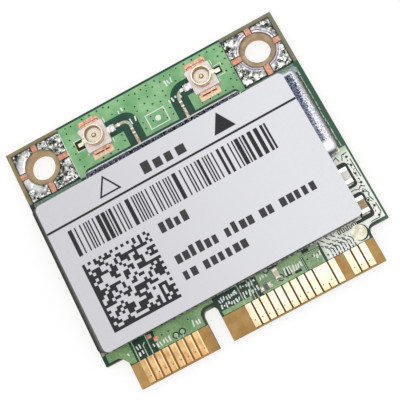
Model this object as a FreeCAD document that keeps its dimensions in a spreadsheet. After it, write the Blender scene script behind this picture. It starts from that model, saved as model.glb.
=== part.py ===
import FreeCAD, Part
import os
import re
import Sketcher

# Half-length wireless network card: a small circuit board with a contact tab and a key slot, two screw
# ears, two round antenna receptacles, and a tinned shield with a paper label over the radio.
# Millimetres. X runs along the contact tab, Y from the tab to the antenna end, Z up; the origin is under
# the middle of the board, on the surface that the card lies on.

SIZES = [
    # Circuit board
    ("board_width", 30.0, "board across its two ears"),
    ("board_length", 26.8, "board from the tab's edge to the antenna edge"),
    ("core_thickness", 0.9, "laminate alone"),
    ("land_thickness", 0.05, "copper lands and contacts on both faces"),
    ("tab_width", 25.7, "contact tab"),
    ("tab_length", 3.4, "tab below the ears"),
    ("tab_root_radius", 0.6, "rounding where the tab meets the ears"),
    ("tab_bevel", 0.12, "bevel of the tab's leading edges"),
    ("key_offset", 8.25, "key slot from the tab's left side"),
    ("key_width", 1.5, "key slot"),
    ("key_depth", 3.85, "key slot up to the top of its round end"),
    ("hole_diameter", 2.6, "screw holes"),
    ("hole_inset", 2.9, "screw holes from both edges of their corner"),
    # Edge contacts
    ("contact_pitch", 0.8, "from contact to contact"),
    ("contact_width", 0.62, "one contact"),
    ("contact_length", 2.3, "one contact"),
    ("contact_setback", 0.15, "contacts from the tab's leading edge"),
    ("contact_inset", 1.25, "first upper contact's middle from the tab's left side"),
    ("key_step", 4.0, "between the contacts on either side of the key slot"),
    ("lower_shift", 0.4, "lower contacts, to the right of the upper ones"),
    ("slit_width", 0.12, "slit in the double contact"),
    ("slit_length", 0.5, "slit in the double contact"),
    # Screw lands
    ("land_margin", 0.45, "bare rim between land and board edge"),
    ("land_reach", 5.75, "land's inner sides from the board edges"),
    ("land_ring", 3.6, "bare ring round a screw hole"),
    ("spoke_width", 0.55, "bare copper between two quarters of solder"),
    ("solder_height", 0.12, "solder on the screw lands"),
    # Shield can and its solder track
    ("can_height", 1.6, "shield over its track"),
    ("can_sheet", 0.2, "tinned sheet"),
    ("can_corner", 0.5, "upright outer corners, outside"),
    ("can_inner_corner", 0.2, "upright corners where the outline turns inwards"),
    ("can_bend", 0.3, "bend between roof and walls, outside"),
    ("can_left_gap", 0.25, "from the board's left edge"),
    ("can_right_gap", 1.0, "from the board's right edge"),
    ("can_lower_gap", 1.2, "above the line of the ears' lower edges"),
    ("can_upper_gap", 5.96, "crown's wall from the antenna edge"),
    ("can_crown_width", 17.0, "part that rises between the screw lands"),
    ("can_crown_rise", 0.74, "crown above the shoulders"),
    ("can_cut_width", 1.4, "corner left free at the lower right"),
    ("can_cut_length", 6.55, "corner left free at the lower right"),
    ("track_outside", 0.15, "track in front of the shield's walls"),
    ("track_inside", 0.4, "track behind the outside of the walls"),
    ("feed_gate_width", 0.9, "opening for a feed line under the crown's wall"),
    ("feed_gate_height", 0.4, "opening for a feed line under the crown's wall"),
    # Paper label
    ("label_width", 27.1, "label"),
    ("label_length", 15.7, "label"),
    ("label_thickness", 0.1, "label"),
    ("label_corner", 0.55, "rounded corners"),
    ("label_turn", 0.5, "degrees that it was stuck on askew"),
    ("label_left_gap", 0.52, "from the shield's left wall"),
    ("label_overhang", 0.12, "past the shield's lower wall"),
    # Antenna receptacles
    ("coax_gap", 1.15, "receptacle's lands from the screw lands"),
    ("coax_inset", 2.8, "receptacles from the antenna edge"),
    ("base_width", 2.6, "moulded base, square"),
    ("base_height", 0.4, "moulded base"),
    ("base_corner", 0.1, "upright corners of the base"),
    ("ring_diameter", 2.0, "outside of the ring"),
    ("ring_wall", 0.13, "ring"),
    ("ring_height", 1.25, "top of the ring above the lands"),
    ("ring_seat", 0.15, "lower rim of the ring above the lands"),
    ("groove_low", 0.7, "snap groove's lower side above the lands"),
    ("groove_width", 0.2, "snap groove"),
    ("groove_depth", 0.05, "snap groove"),
    ("foot_width", 1.8, "side feet of the ring"),
    ("foot_reach", 1.6, "side feet from the middle"),
    ("foot_thickness", 0.2, "side feet"),
    ("tail_width", 0.4, "strip from the ring over the base"),
    ("tail_thickness", 0.1, "strip from the ring over the base"),
    ("tail_reach", 1.95, "strip from the middle"),
    ("pin_diameter", 0.5, "centre pin"),
    ("pin_root", 0.9, "centre pin's root, which the base holds"),
    ("pin_height", 0.95, "centre pin above the lands"),
    ("pin_point", 0.12, "bevel of the pin's tip"),
    ("signal_width", 0.5, "tail of the centre pin"),
    ("signal_thickness", 0.1, "tail of the centre pin"),
    ("signal_reach", 1.95, "tail from the middle"),
    ("ground_land_width", 2.2, "lands under the side feet"),
    ("side_land_inner", 0.95, "near side of the receptacle's lands from its middle"),
    ("side_land_outer", 2.1, "far side of the receptacle's lands from its middle"),
    ("signal_land_width", 0.7, "lands under the two tails"),
    # Feed lines
    ("feed_width", 0.3, "copper line"),
    ("feed_bend", 0.5, "inside of the line's bend"),
    ("left_feed_run", 3.6, "left receptacle's middle to its line's lower leg"),
    ("right_feed_run", 2.95, "right receptacle's middle to its line's lower leg"),
    ("feed_part_drop", 1.35, "feed capacitors below the receptacles' middles"),
    # Chip parts: tiny ones in the feed lines, small ones on the board, larger ones at the side
    ("tiny_length", 0.6, "feed capacitor"),
    ("tiny_width", 0.3, "feed capacitor"),
    ("tiny_height", 0.3, "feed capacitor"),
    ("tiny_cap", 0.15, "end cap of a feed capacitor"),
    ("small_length", 1.0, "small chip part"),
    ("small_width", 0.5, "small chip part"),
    ("small_height", 0.5, "small chip part"),
    ("small_cap", 0.25, "end cap of a small chip part"),
    ("large_length", 1.6, "side capacitor"),
    ("large_width", 0.8, "side capacitor"),
    ("large_height", 0.8, "side capacitor"),
    ("large_cap", 0.35, "end cap of a side capacitor"),
    ("land_toe", 0.12, "land past the end of a chip part"),
    ("side_inset", 1.65, "side capacitors from the right edge"),
    ("upper_side_rise", 5.2, "upper side capacitor above the ears' lower edges"),
    ("lower_side_rise", 2.1, "lower side capacitor above the ears' lower edges"),
    ("upright_part_x", 3.3, "upright edge part, from the middle"),
    ("upright_part_rise", 0.25, "upright edge part above the ears' lower edges"),
    ("level_part_x", 1.9, "level edge part, from the middle"),
    ("level_part_drop", 0.4, "level edge part below the ears' lower edges"),
    ("bare_land_size", 0.42, "side of the two empty lands"),
    ("bare_land_x", 9.82, "empty lands left of the middle"),
    ("bare_land_rise", 0.45, "empty lands above the ears' lower edges"),
    ("bare_land_step", 0.5, "between the two empty lands, across and down"),
    # Pieces under the shield
    ("parts_gap", 0.4, "room between neighbours under the shield"),
    ("crown_gap", 0.6, "room between the crown's wall and the antenna filters"),
    ("front_gap", 2.45, "room between the two front-end modules"),
    ("radio_width", 7.5, "radio chip, square"),
    ("radio_height", 0.9, "radio chip"),
    ("radio_edge", 0.15, "bevel round the radio chip's top"),
    ("dimple_diameter", 0.6, "orientation mark in the radio chip"),
    ("dimple_depth", 0.08, "orientation mark in the radio chip"),
    ("dimple_inset", 0.9, "orientation mark from the chip's sides"),
    ("front_width", 3.0, "front-end modules, square"),
    ("front_height", 0.85, "front-end modules"),
    ("filter_length", 2.0, "antenna filter"),
    ("filter_width", 1.25, "antenna filter"),
    ("filter_height", 0.95, "antenna filter"),
    ("crystal_length", 3.2, "crystal"),
    ("crystal_width", 2.5, "crystal"),
    ("crystal_height", 0.5, "crystal's ceramic base"),
    ("lid_height", 0.2, "crystal's lid"),
    ("lid_margin", 0.2, "crystal's lid inside the base's sides"),
    ("memory_length", 3.0, "set-up memory"),
    ("memory_width", 2.0, "set-up memory"),
    ("memory_height", 0.6, "set-up memory"),
    ("coil_length", 2.5, "power coil"),
    ("coil_width", 2.0, "power coil"),
    ("coil_height", 1.0, "power coil"),
    ("coil_plate", 0.3, "end plates of the power coil"),
    ("chip_land_margin", 0.3, "land inside a chip's sides"),
    ("column_pitch", 1.3, "between chip parts in a column"),
    ("resistor_height", 0.35, "resistors under the shield"),
]
COLUMN_CAPACITORS = 5
COLUMN_RESISTORS = 4
# Contact rows from left to right: s is a single contact, d a double one over two places, e an empty place
SHORT_ROW = "s" * 8
UPPER_LONG_ROW = "ee" + "s" * 9 + "d" + "s" + "e" + "s" * 3
LOWER_LONG_ROW = "s" * 18

doc = FreeCAD.newDocument("WirelessCard")
sheet = doc.addObject("Spreadsheet::Sheet", "Sizes")
for row, (alias, size, words) in enumerate(SIZES, 1):
    sheet.set(f"A{row}", words)
    sheet.set(f"B{row}", str(size))
    sheet.setAlias(f"B{row}", alias)
doc.recompute()
ALIASES = {alias for alias, size, words in SIZES}
sub_parts = []

# Places that several pieces share, written as formulas on the sizes
LEFT = "(-board_width / 2)"
RIGHT = "(board_width / 2)"
TOP = "(board_length / 2)"
BOTTOM = "(-board_length / 2)"
EARS = f"({BOTTOM} + tab_length)"
TAB_LEFT = "(-tab_width / 2)"
TAB_RIGHT = "(tab_width / 2)"
KEY_X = f"({TAB_LEFT} + key_offset + key_width / 2)"
KEY_END = f"({BOTTOM} + key_depth - key_width / 2)"
HOLE_X = f"({RIGHT} - hole_inset)"
HOLE_Y = f"({TOP} - hole_inset)"
DECK = "(land_thickness + core_thickness)"
LAND_TOP = f"({DECK} + land_thickness)"
CAN_LEFT = f"({LEFT} + can_left_gap)"
CAN_RIGHT = f"({RIGHT} - can_right_gap)"
CAN_LOW = f"({EARS} + can_lower_gap)"
CAN_HIGH = f"({TOP} - can_upper_gap)"
CAN_ROOF = f"({LAND_TOP} + can_height)"
COAX_Y = f"({TOP} - coax_inset)"
RIGHT_COAX = f"({RIGHT} - land_reach - coax_gap - side_land_outer)"
LEFT_COAX = f"(-{RIGHT_COAX})"
LEFT_FEED = f"({LEFT_COAX} + left_feed_run)"
RIGHT_FEED = f"({RIGHT_COAX} - right_feed_run)"
FEED_PART_Y = f"({COAX_Y} - feed_part_drop)"
FEED_MIDDLE = f"(({LEFT_FEED} + {RIGHT_FEED}) / 2)"
FILTER_Y = f"({CAN_HIGH} - can_sheet - crown_gap - filter_length / 2)"
FRONT_Y = f"({FILTER_Y} - filter_length / 2 - parts_gap - front_width / 2)"
INNER_LEFT = f"({CAN_LEFT} + can_sheet + parts_gap)"
INNER_RIGHT = f"({CAN_RIGHT} - can_cut_width - can_sheet - parts_gap)"
INNER_LOW = f"({CAN_LOW} + can_sheet + parts_gap)"
RADIO_X = f"({INNER_LEFT} + small_length + parts_gap + radio_width / 2)"
RADIO_Y = f"({INNER_LOW} + radio_width / 2)"


def on_sheet(formula):
    """The formula with each size's name pointed at its cell."""
    return re.sub(r"[a-z]\w*", lambda word: f"Sizes.{word[0]}" if word[0] in ALIASES else word[0], formula)


def bind(thing, name, formula):
    thing.setExpression(name, on_sheet(formula))


def number(formula):
    return float(sheet.evalExpression(on_sheet(formula)))


def new_body(label):
    return doc.addObject("PartDesign::Body", label)


def new_sketch(body, name, plane, height):
    """An empty sketch on one of the body's own planes, moved along that plane's normal."""
    sketch = body.newObject("Sketcher::SketchObject", name)
    support = next(part for part in body.Origin.OriginFeatures if part.Role == plane)
    sketch.AttachmentSupport = [(support, "")]
    sketch.MapMode = "FlatFace"
    bind(sketch, "AttachmentOffset.Base.z", height)
    return sketch


def fix_point(sketch, geometry, point, place):
    """Tie a point of a sketch to its two formulas."""
    for kind, formula in zip(("DistanceX", "DistanceY"), place):
        tie = Sketcher.Constraint(kind, -1, 1, geometry, point, number(formula))
        bind(sketch, f"Constraints[{sketch.addConstraint(tie)}]", formula)


def polygon(body, name, corners, plane="XY_Plane", height="0"):
    """A sketch of straight sides through the corners, each corner tied to its formulas."""
    sketch = new_sketch(body, name, plane, height)
    points = [FreeCAD.Vector(number(across), number(up), 0) for across, up in corners]
    count = len(points)
    for side in range(count):
        sketch.addGeometry(Part.LineSegment(points[side], points[(side + 1) % count]), False)
    for side in range(count):
        sketch.addConstraint(Sketcher.Constraint("Coincident", side, 2, (side + 1) % count, 1))
    for side, corner in enumerate(corners):
        fix_point(sketch, side, 1, corner)
    return sketch


def rounds(body, name, circles, height):
    """A sketch of circles, each given by its middle and its diameter."""
    sketch = new_sketch(body, name, "XY_Plane", height)
    for across, up, diameter in circles:
        middle = FreeCAD.Vector(number(across), number(up), 0)
        radius = f"({diameter}) / 2"
        circle = Part.Circle(middle, FreeCAD.Vector(0, 0, 1), number(radius))
        geometry = sketch.addGeometry(circle, False)
        fix_point(sketch, geometry, 3, (across, up))
        tie = Sketcher.Constraint("Radius", geometry, number(radius))
        bind(sketch, f"Constraints[{sketch.addConstraint(tie)}]", radius)
    return sketch


def oblong(low, high):
    """The four corners of a rectangle from two opposite ones."""
    return [low, (high[0], low[1]), high, (low[0], high[1])]


def pad(body, sketch, depth):
    feature = body.newObject("PartDesign::Pad", f"{sketch.Name}_pad")
    feature.Profile = sketch
    bind(feature, "Length", depth)
    doc.recompute()
    return feature


def pocket(body, sketch, depth):
    """Cut upwards from the sketch, and make sure that something was cut."""
    before = body.Shape.Volume
    feature = body.newObject("PartDesign::Pocket", f"{sketch.Name}_pocket")
    feature.Profile = sketch
    feature.Reversed = True
    bind(feature, "Length", depth)
    doc.recompute()
    if not body.Shape.Volume < before:
        raise RuntimeError(f"{sketch.Name} cuts nothing")
    return feature


def revolution(body, sketch):
    feature = body.newObject("PartDesign::Revolution", f"{sketch.Name}_turn")
    feature.Profile = sketch
    feature.ReferenceAxis = (sketch, ["V_Axis"])
    feature.Angle = 360
    doc.recompute()
    return feature


def solid_box(body, kind, name, low, high):
    """A block between two opposite corners, added to a body or cut from it."""
    feature = body.newObject(f"PartDesign::{kind}", name)
    for side, axis, start, end in zip(("Length", "Width", "Height"), "xyz", low, high):
        bind(feature, side, f"({end}) - ({start})")
        bind(feature, f"Placement.Base.{axis}", start)
    doc.recompute()
    return feature


def round_edges(body, kind, name, edges, size):
    """Fillet or chamfer the named edges of the body's last feature."""
    feature = body.newObject(f"PartDesign::{kind}", name)
    feature.Base = (feature.BaseFeature, edges)
    bind(feature, {"Fillet": "Radius", "Chamfer": "Size"}[kind], size)
    doc.recompute()
    return feature


def edges_where(shape, test):
    return [f"Edge{index}" for index, edge in enumerate(shape.Edges, 1) if test(edge.BoundBox)]


def is_upright(bounds):
    return bounds.XLength < 1e-6 and bounds.YLength < 1e-6


def stands_at(places):
    """A test for upright edges that stand at one of the places in plan."""
    spots = [(number(across), number(up)) for across, up in places]
    return lambda bounds: is_upright(bounds) and any(
        abs(bounds.XMin - across) < 1e-4 and abs(bounds.YMin - up) < 1e-4 for across, up in spots
    )


def lies_at_height(height):
    level = number(height)
    return lambda bounds: abs(bounds.ZMin - level) < 1e-6 and abs(bounds.ZMax - level) < 1e-6


def block(name, low, size):
    """A plain block from its low corner and its three lengths."""
    piece = doc.addObject("Part::Box", name)
    for axis, formula in zip("xyz", low):
        bind(piece, f"Placement.Base.{axis}", formula)
    for side, formula in zip(("Length", "Width", "Height"), size):
        bind(piece, side, formula)
    return piece


def block_on(name, middle, floor, size):
    """A plain block that stands on a floor, given by its middle in plan."""
    low = [f"{place} - ({length}) / 2" for place, length in zip(middle, size)]
    return block(name, (*low, floor), size)


def post(name, middle, floor, diameter, height):
    piece = doc.addObject("Part::Cylinder", name)
    bind(piece, "Radius", f"({diameter}) / 2")
    bind(piece, "Height", height)
    for axis, formula in zip("xyz", (*middle, floor)):
        bind(piece, f"Placement.Base.{axis}", formula)
    return piece


def cut(name, base, tool):
    piece = doc.addObject("Part::Cut", name)
    piece.Base = base
    piece.Tool = tool
    return piece


def keep(piece):
    sub_parts.append(piece)
    return piece


def group(label, members):
    """Several like solids as one sub-part."""
    piece = doc.addObject("Part::Compound", label)
    piece.Links = members
    return keep(piece)


def place_body(body, middle, floor, turn):
    for axis, formula in zip("xyz", (*middle, floor)):
        bind(body, f"Placement.Base.{axis}", formula)
    bind(body, "Placement.Rotation.Angle", turn)


# Circuit board: outline with ears and tab, drilled holes, key slot, rounded roots, bevelled leading edge
def circuit_board():
    body = new_body("circuit_board")
    corners = [
        (LEFT, TOP),
        (LEFT, EARS),
        (TAB_LEFT, EARS),
        (TAB_LEFT, BOTTOM),
        (TAB_RIGHT, BOTTOM),
        (TAB_RIGHT, EARS),
        (RIGHT, EARS),
        (RIGHT, TOP),
    ]
    pad(body, polygon(body, "board_outline", corners, height="land_thickness"), "core_thickness")
    drilled = [
        (f"-{HOLE_X}", HOLE_Y, "hole_diameter"),
        (HOLE_X, HOLE_Y, "hole_diameter"),
        (KEY_X, KEY_END, "key_width"),
    ]
    pocket(body, rounds(body, "drilled_holes", drilled, "land_thickness"), "core_thickness")
    slot_low = (f"{KEY_X} - key_width / 2", f"{BOTTOM} - key_width")
    slot_high = (f"{KEY_X} + key_width / 2", KEY_END)
    slot = polygon(body, "key_slot", oblong(slot_low, slot_high), height="land_thickness")
    pocket(body, slot, "core_thickness")
    roots = edges_where(body.Shape, stands_at([(TAB_LEFT, EARS), (TAB_RIGHT, EARS)]))
    round_edges(body, "Fillet", "tab_roots", roots, "tab_root_radius")
    front = number(BOTTOM)
    leading = edges_where(
        body.Shape, lambda bounds: bounds.YMax < front + 1e-6 and bounds.XLength > bounds.ZLength
    )
    round_edges(body, "Chamfer", "leading_edge", leading, "tab_bevel")
    return keep(body)


# Edge contacts: plated strips on both faces of the tab, with one double strip on the upper face
def contact_row(label, row, first, floor):
    """One row of contacts, from the middle of its first place."""
    middle_y = f"{BOTTOM} + contact_setback + contact_length / 2"
    slit_y = f"{BOTTOM} + contact_setback + slit_length / 2"
    strips = []
    place = 0
    for kind in row:
        name = f"{label}_{place}"
        middle_x = f"{first} + {place} * contact_pitch"
        if kind == "s":
            strip = ("contact_width", "contact_length", "land_thickness")
            strips.append(block_on(name, (middle_x, middle_y), floor, strip))
        if kind == "d":
            middle_x = f"{middle_x} + contact_pitch / 2"
            wide = ("contact_width + contact_pitch", "contact_length", "land_thickness")
            strip = block_on(f"{name}_wide", (middle_x, middle_y), floor, wide)
            narrow = ("slit_width", "slit_length", "land_thickness")
            slit = block_on(f"{name}_slit", (middle_x, slit_y), floor, narrow)
            strips.append(cut(name, strip, slit))
            place += 1
        place += 1
    group(label, strips)


def edge_contacts():
    first = f"{TAB_LEFT} + contact_inset"
    past_key = f"{first} + {len(SHORT_ROW) - 1} * contact_pitch + key_step"
    contact_row("upper_contacts_short", SHORT_ROW, first, DECK)
    contact_row("upper_contacts_long", UPPER_LONG_ROW, past_key, DECK)
    contact_row("lower_contacts_short", SHORT_ROW, f"{first} + lower_shift", "0")
    contact_row("lower_contacts_long", LOWER_LONG_ROW, f"{past_key} + lower_shift", "0")


# Screw lands: copper squares round the holes, with four quarters of solder on the upper ones
def screw_lands():
    side = "land_reach - land_margin"
    middle_y = f"{TOP} - (land_reach + land_margin) / 2"
    for face, floor in (("upper", DECK), ("lower", "0")):
        lands = []
        for sign, hand in ((-1, "left"), (1, "right")):
            name = f"{face}_{hand}_land"
            middle = (f"{sign} * ({RIGHT} - (land_reach + land_margin) / 2)", middle_y)
            square = block_on(f"{name}_square", middle, floor, (side, side, "land_thickness"))
            ring = post(f"{name}_ring", (f"{sign} * {HOLE_X}", HOLE_Y), floor, "land_ring", "land_thickness")
            lands.append(cut(name, square, ring))
        group(f"{face}_screw_lands", lands)
    quarters = []
    outer = "(hole_inset - land_margin - spoke_width / 2)"
    inner = "(land_reach - hole_inset - spoke_width / 2)"
    for sign, hand in ((-1, "left"), (1, "right")):
        for out in (1, -1):
            for up in (1, -1):
                name = f"{hand}_solder_{'outer' if out > 0 else 'inner'}_{'far' if up > 0 else 'near'}"
                width = outer if out > 0 else inner
                length = outer if up > 0 else inner
                middle = (
                    f"{sign} * ({HOLE_X} + {out} * (spoke_width + {width}) / 2)",
                    f"{HOLE_Y} + {up} * (spoke_width + {length}) / 2",
                )
                corner = block_on(f"{name}_block", middle, LAND_TOP, (width, length, "solder_height"))
                hole = (f"{sign} * {HOLE_X}", HOLE_Y)
                ring = post(f"{name}_ring", hole, LAND_TOP, "land_ring", "solder_height")
                quarters.append(cut(name, corner, ring))
    group("screw_land_solder", quarters)


# The shield's outline in plan, drawn inwards by a distance: a crown between the screw lands, two
# shoulders, and a corner left free for the side capacitors
def can_outline(inwards):
    left = f"{CAN_LEFT} + {inwards}"
    right = f"{CAN_RIGHT} - {inwards}"
    cut_side = f"{CAN_RIGHT} - can_cut_width - {inwards}"
    low = f"{CAN_LOW} + {inwards}"
    cut_top = f"{CAN_LOW} + can_cut_length + {inwards}"
    shoulder = f"{CAN_HIGH} - can_crown_rise - {inwards}"
    high = f"{CAN_HIGH} - {inwards}"
    crown = f"can_crown_width / 2 - {inwards}"
    return [
        (left, low),
        (cut_side, low),
        (cut_side, cut_top),
        (right, cut_top),
        (right, shoulder),
        (crown, shoulder),
        (crown, high),
        (f"-({crown})", high),
        (f"-({crown})", shoulder),
        (left, shoulder),
    ]


def feed_gates(body, floor, height):
    """Open the crown's wall where the two feed lines pass under it."""
    for hand, line in (("left", LEFT_FEED), ("right", RIGHT_FEED)):
        low = (f"{line} - feed_gate_width / 2", f"{CAN_HIGH} - track_inside - can_sheet", floor)
        high = (f"{line} + feed_gate_width / 2", f"{CAN_HIGH} + track_outside + can_sheet", height)
        solid_box(body, "SubtractiveBox", f"{body.Name}_{hand}_gate", low, high)


# Solder track: a closed line of tinned copper under the shield's walls, open at the feed lines
def shield_track():
    body = new_body("shield_track")
    outside = polygon(body, "track_outside_line", can_outline("(-track_outside)"), height=DECK)
    pad(body, outside, "land_thickness")
    inside = polygon(body, "track_inside_line", can_outline("track_inside"), height=DECK)
    pocket(body, inside, "land_thickness")
    feed_gates(body, DECK, LAND_TOP)
    return keep(body)


# Shield: one drawn can of tinned sheet, rounded at its corners and bends, open below
def shield_can():
    body = new_body("shield_can")
    outline = can_outline("0")
    pad(body, polygon(body, "can_outline", outline, height=LAND_TOP), "can_height")
    turned_in = [outline[2], outline[5], outline[8]]
    turned_out = [corner for corner in outline if corner not in turned_in]
    outer = edges_where(body.Shape, stands_at(turned_out))
    round_edges(body, "Fillet", "can_corners", outer, "can_corner")
    inner = edges_where(body.Shape, stands_at(turned_in))
    round_edges(body, "Fillet", "can_inner_corners", inner, "can_inner_corner")
    roof = edges_where(body.Shape, lies_at_height(CAN_ROOF))
    round_edges(body, "Fillet", "can_bends", roof, "can_bend")
    floor = number(LAND_TOP)
    open_face = next(
        f"Face{index}" for index, face in enumerate(body.Shape.Faces, 1) if face.BoundBox.ZMax < floor + 1e-6
    )
    hollow = body.newObject("PartDesign::Thickness", "can_hollow")
    hollow.Base = (hollow.BaseFeature, [open_face])
    hollow.Reversed = True
    bind(hollow, "Value", "can_sheet")
    doc.recompute()
    feed_gates(body, LAND_TOP, f"{LAND_TOP} + feed_gate_height")
    return keep(body)


# Label: a sheet of paper with rounded corners, stuck on the shield a little askew
def label():
    body = new_body("label")
    half = ("label_width / 2", "label_length / 2")
    sheet_outline = oblong(tuple(f"-{side}" for side in half), half)
    pad(body, polygon(body, "label_outline", sheet_outline), "label_thickness")
    round_edges(body, "Fillet", "label_corners", edges_where(body.Shape, is_upright), "label_corner")
    middle = (
        f"{CAN_LEFT} + label_left_gap + label_width / 2",
        f"{CAN_LOW} - label_overhang + label_length / 2",
    )
    place_body(body, middle, CAN_ROOF, "label_turn")
    return keep(body)


# Antenna receptacle: a moulded base, a ring with two side feet and a strip over the base, and a centre
# pin whose tail points along the receptacle's own X
def receptacle(hand, middle_x, turn):
    middle = (middle_x, COAX_Y)
    outer = "ring_diameter / 2"
    inner = "(ring_diameter / 2 - ring_wall)"
    neck = "(ring_diameter / 2 - groove_depth)"

    ring = new_body(f"{hand}_receptacle_ring")
    profile = [
        (inner, "ring_seat"),
        (outer, "ring_seat"),
        (outer, "groove_low"),
        (neck, "groove_low"),
        (neck, "groove_low + groove_width"),
        (outer, "groove_low + groove_width"),
        (outer, "ring_height"),
        (inner, "ring_height"),
    ]
    revolution(ring, polygon(ring, f"{hand}_ring_profile", profile, plane="XZ_Plane"))
    foot_low = ("-foot_width / 2", inner, "0")
    foot_high = ("foot_width / 2", "foot_reach", "foot_thickness")
    solid_box(ring, "AdditiveBox", f"{hand}_far_foot", foot_low, foot_high)
    foot_low = ("-foot_width / 2", "-foot_reach", "0")
    foot_high = ("foot_width / 2", f"-{inner}", "foot_thickness")
    solid_box(ring, "AdditiveBox", f"{hand}_near_foot", foot_low, foot_high)
    bend = "(-base_width / 2 - tail_thickness)"
    top = "base_height + tail_thickness"
    half = "tail_width / 2"
    strip = [
        ("over", (bend, f"-{half}", "base_height"), (f"-{inner} - ring_wall / 2", half, top)),
        ("down", (bend, f"-{half}", "0"), ("-base_width / 2", half, top)),
        ("out", ("-tail_reach", f"-{half}", "0"), ("-base_width / 2", half, "tail_thickness")),
    ]
    for run, low, high in strip:
        solid_box(ring, "AdditiveBox", f"{hand}_strip_{run}", low, high)
    place_body(ring, middle, LAND_TOP, turn)

    pin = new_body(f"{hand}_receptacle_pin")
    profile = [
        ("0", "0"),
        ("pin_root / 2", "0"),
        ("pin_root / 2", "base_height"),
        ("pin_diameter / 2", "base_height"),
        ("pin_diameter / 2", "pin_height - pin_point"),
        ("pin_diameter / 2 - pin_point", "pin_height"),
        ("0", "pin_height"),
    ]
    revolution(pin, polygon(pin, f"{hand}_pin_profile", profile, plane="XZ_Plane"))
    tail_low = ("0", "-signal_width / 2", "0")
    tail_high = ("signal_reach", "signal_width / 2", "signal_thickness")
    solid_box(pin, "AdditiveBox", f"{hand}_signal_tail", tail_low, tail_high)
    place_body(pin, middle, LAND_TOP, turn)

    blank = new_body(f"{hand}_receptacle_blank")
    half = ("base_width / 2", "base_width / 2")
    corners = oblong(tuple(f"-{side}" for side in half), half)
    pad(blank, polygon(blank, f"{hand}_base_outline", corners), "base_height")
    upright = edges_where(blank.Shape, is_upright)
    round_edges(blank, "Fillet", f"{hand}_base_corners", upright, "base_corner")
    place_body(blank, middle, LAND_TOP, turn)
    round_ring = cut(f"{hand}_base_round_ring", blank, ring)
    keep(cut(f"{hand}_receptacle_base", round_ring, pin))
    keep(ring)
    keep(pin)


def receptacle_lands():
    """Lands under the side feet, the centre pin's tail and the ring's strip of both receptacles."""
    lands = []
    reach = "(side_land_outer - side_land_inner)"
    out = "(side_land_outer + side_land_inner) / 2"
    for hand, middle_x in (("left", LEFT_COAX), ("right", RIGHT_COAX)):
        for sign in (-1, 1):
            ground = ("ground_land_width", reach, "land_thickness")
            middle = (middle_x, f"{COAX_Y} + {sign} * {out}")
            lands.append(block_on(f"{hand}_ground_land_{len(lands)}", middle, DECK, ground))
            signal = (reach, "signal_land_width", "land_thickness")
            middle = (f"{middle_x} + {sign} * {out}", COAX_Y)
            lands.append(block_on(f"{hand}_tail_land_{len(lands)}", middle, DECK, signal))
    group("receptacle_lands", lands)


# Feed lines: a bent copper line from each receptacle to its feed capacitor, and a straight one from
# there under the shield to the antenna filter
def feed_lines():
    lines = []
    part_end = "(tiny_length / 2 + land_toe)"
    half = "feed_width / 2"
    sides = (("left", 1, LEFT_COAX, LEFT_FEED), ("right", -1, RIGHT_COAX, RIGHT_FEED))
    for hand, sign, middle_x, line_x in sides:
        start = f"{middle_x} + {sign} * side_land_outer"
        near = f"{line_x} - {sign} * {half}"
        far = f"{line_x} + {sign} * {half}"
        end = f"{FEED_PART_Y} + {part_end}"
        body = new_body(f"{hand}_feed_bend")
        corners = [
            (start, f"{COAX_Y} - {half}"),
            (near, f"{COAX_Y} - {half}"),
            (near, end),
            (far, end),
            (far, f"{COAX_Y} + {half}"),
            (start, f"{COAX_Y} + {half}"),
        ]
        pad(body, polygon(body, f"{hand}_feed_outline", corners, height=DECK), "land_thickness")
        inside = edges_where(body.Shape, stands_at([corners[1]]))
        round_edges(body, "Fillet", f"{hand}_feed_inside", inside, "feed_bend")
        outside = edges_where(body.Shape, stands_at([corners[4]]))
        round_edges(body, "Fillet", f"{hand}_feed_outside", outside, "feed_bend + feed_width")
        lines.append(body)
        low = f"({FILTER_Y} + filter_length / 2)"
        length = f"{FEED_PART_Y} - {part_end} - {low}"
        leg_low = (f"{line_x} - {half}", low, DECK)
        lines.append(block(f"{hand}_feed_leg", leg_low, ("feed_width", length, "land_thickness")))
    group("feed_lines", lines)


def chip_part(name, middle, size, upright, height):
    """A small block with a metal cap on each end and a land under each cap, along Y if upright."""
    middle_length = f"({size}_length - 2 * {size}_cap)"
    end = f"({size}_length - {size}_cap) / 2"
    land_length = f"({size}_cap + land_toe)"
    land_end = f"({size}_length / 2 + land_toe - {land_length} / 2)"

    def laid(tag, offset, length, floor, thickness):
        if upright:
            spot = (middle[0], f"{middle[1]} + {offset}")
            return block_on(f"{name}_{tag}", spot, floor, (f"{size}_width", length, thickness))
        spot = (f"{middle[0]} + {offset}", middle[1])
        return block_on(f"{name}_{tag}", spot, floor, (length, f"{size}_width", thickness))

    core = laid("core", "0", middle_length, LAND_TOP, height)
    caps = []
    lands = []
    for tag, sign in (("low", -1), ("high", 1)):
        caps.append(laid(f"{tag}_cap", f"{sign} * {end}", f"{size}_cap", LAND_TOP, height))
        lands.append(laid(f"{tag}_land", f"{sign} * {land_end}", land_length, DECK, "land_thickness"))
    return core, caps, lands


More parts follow.
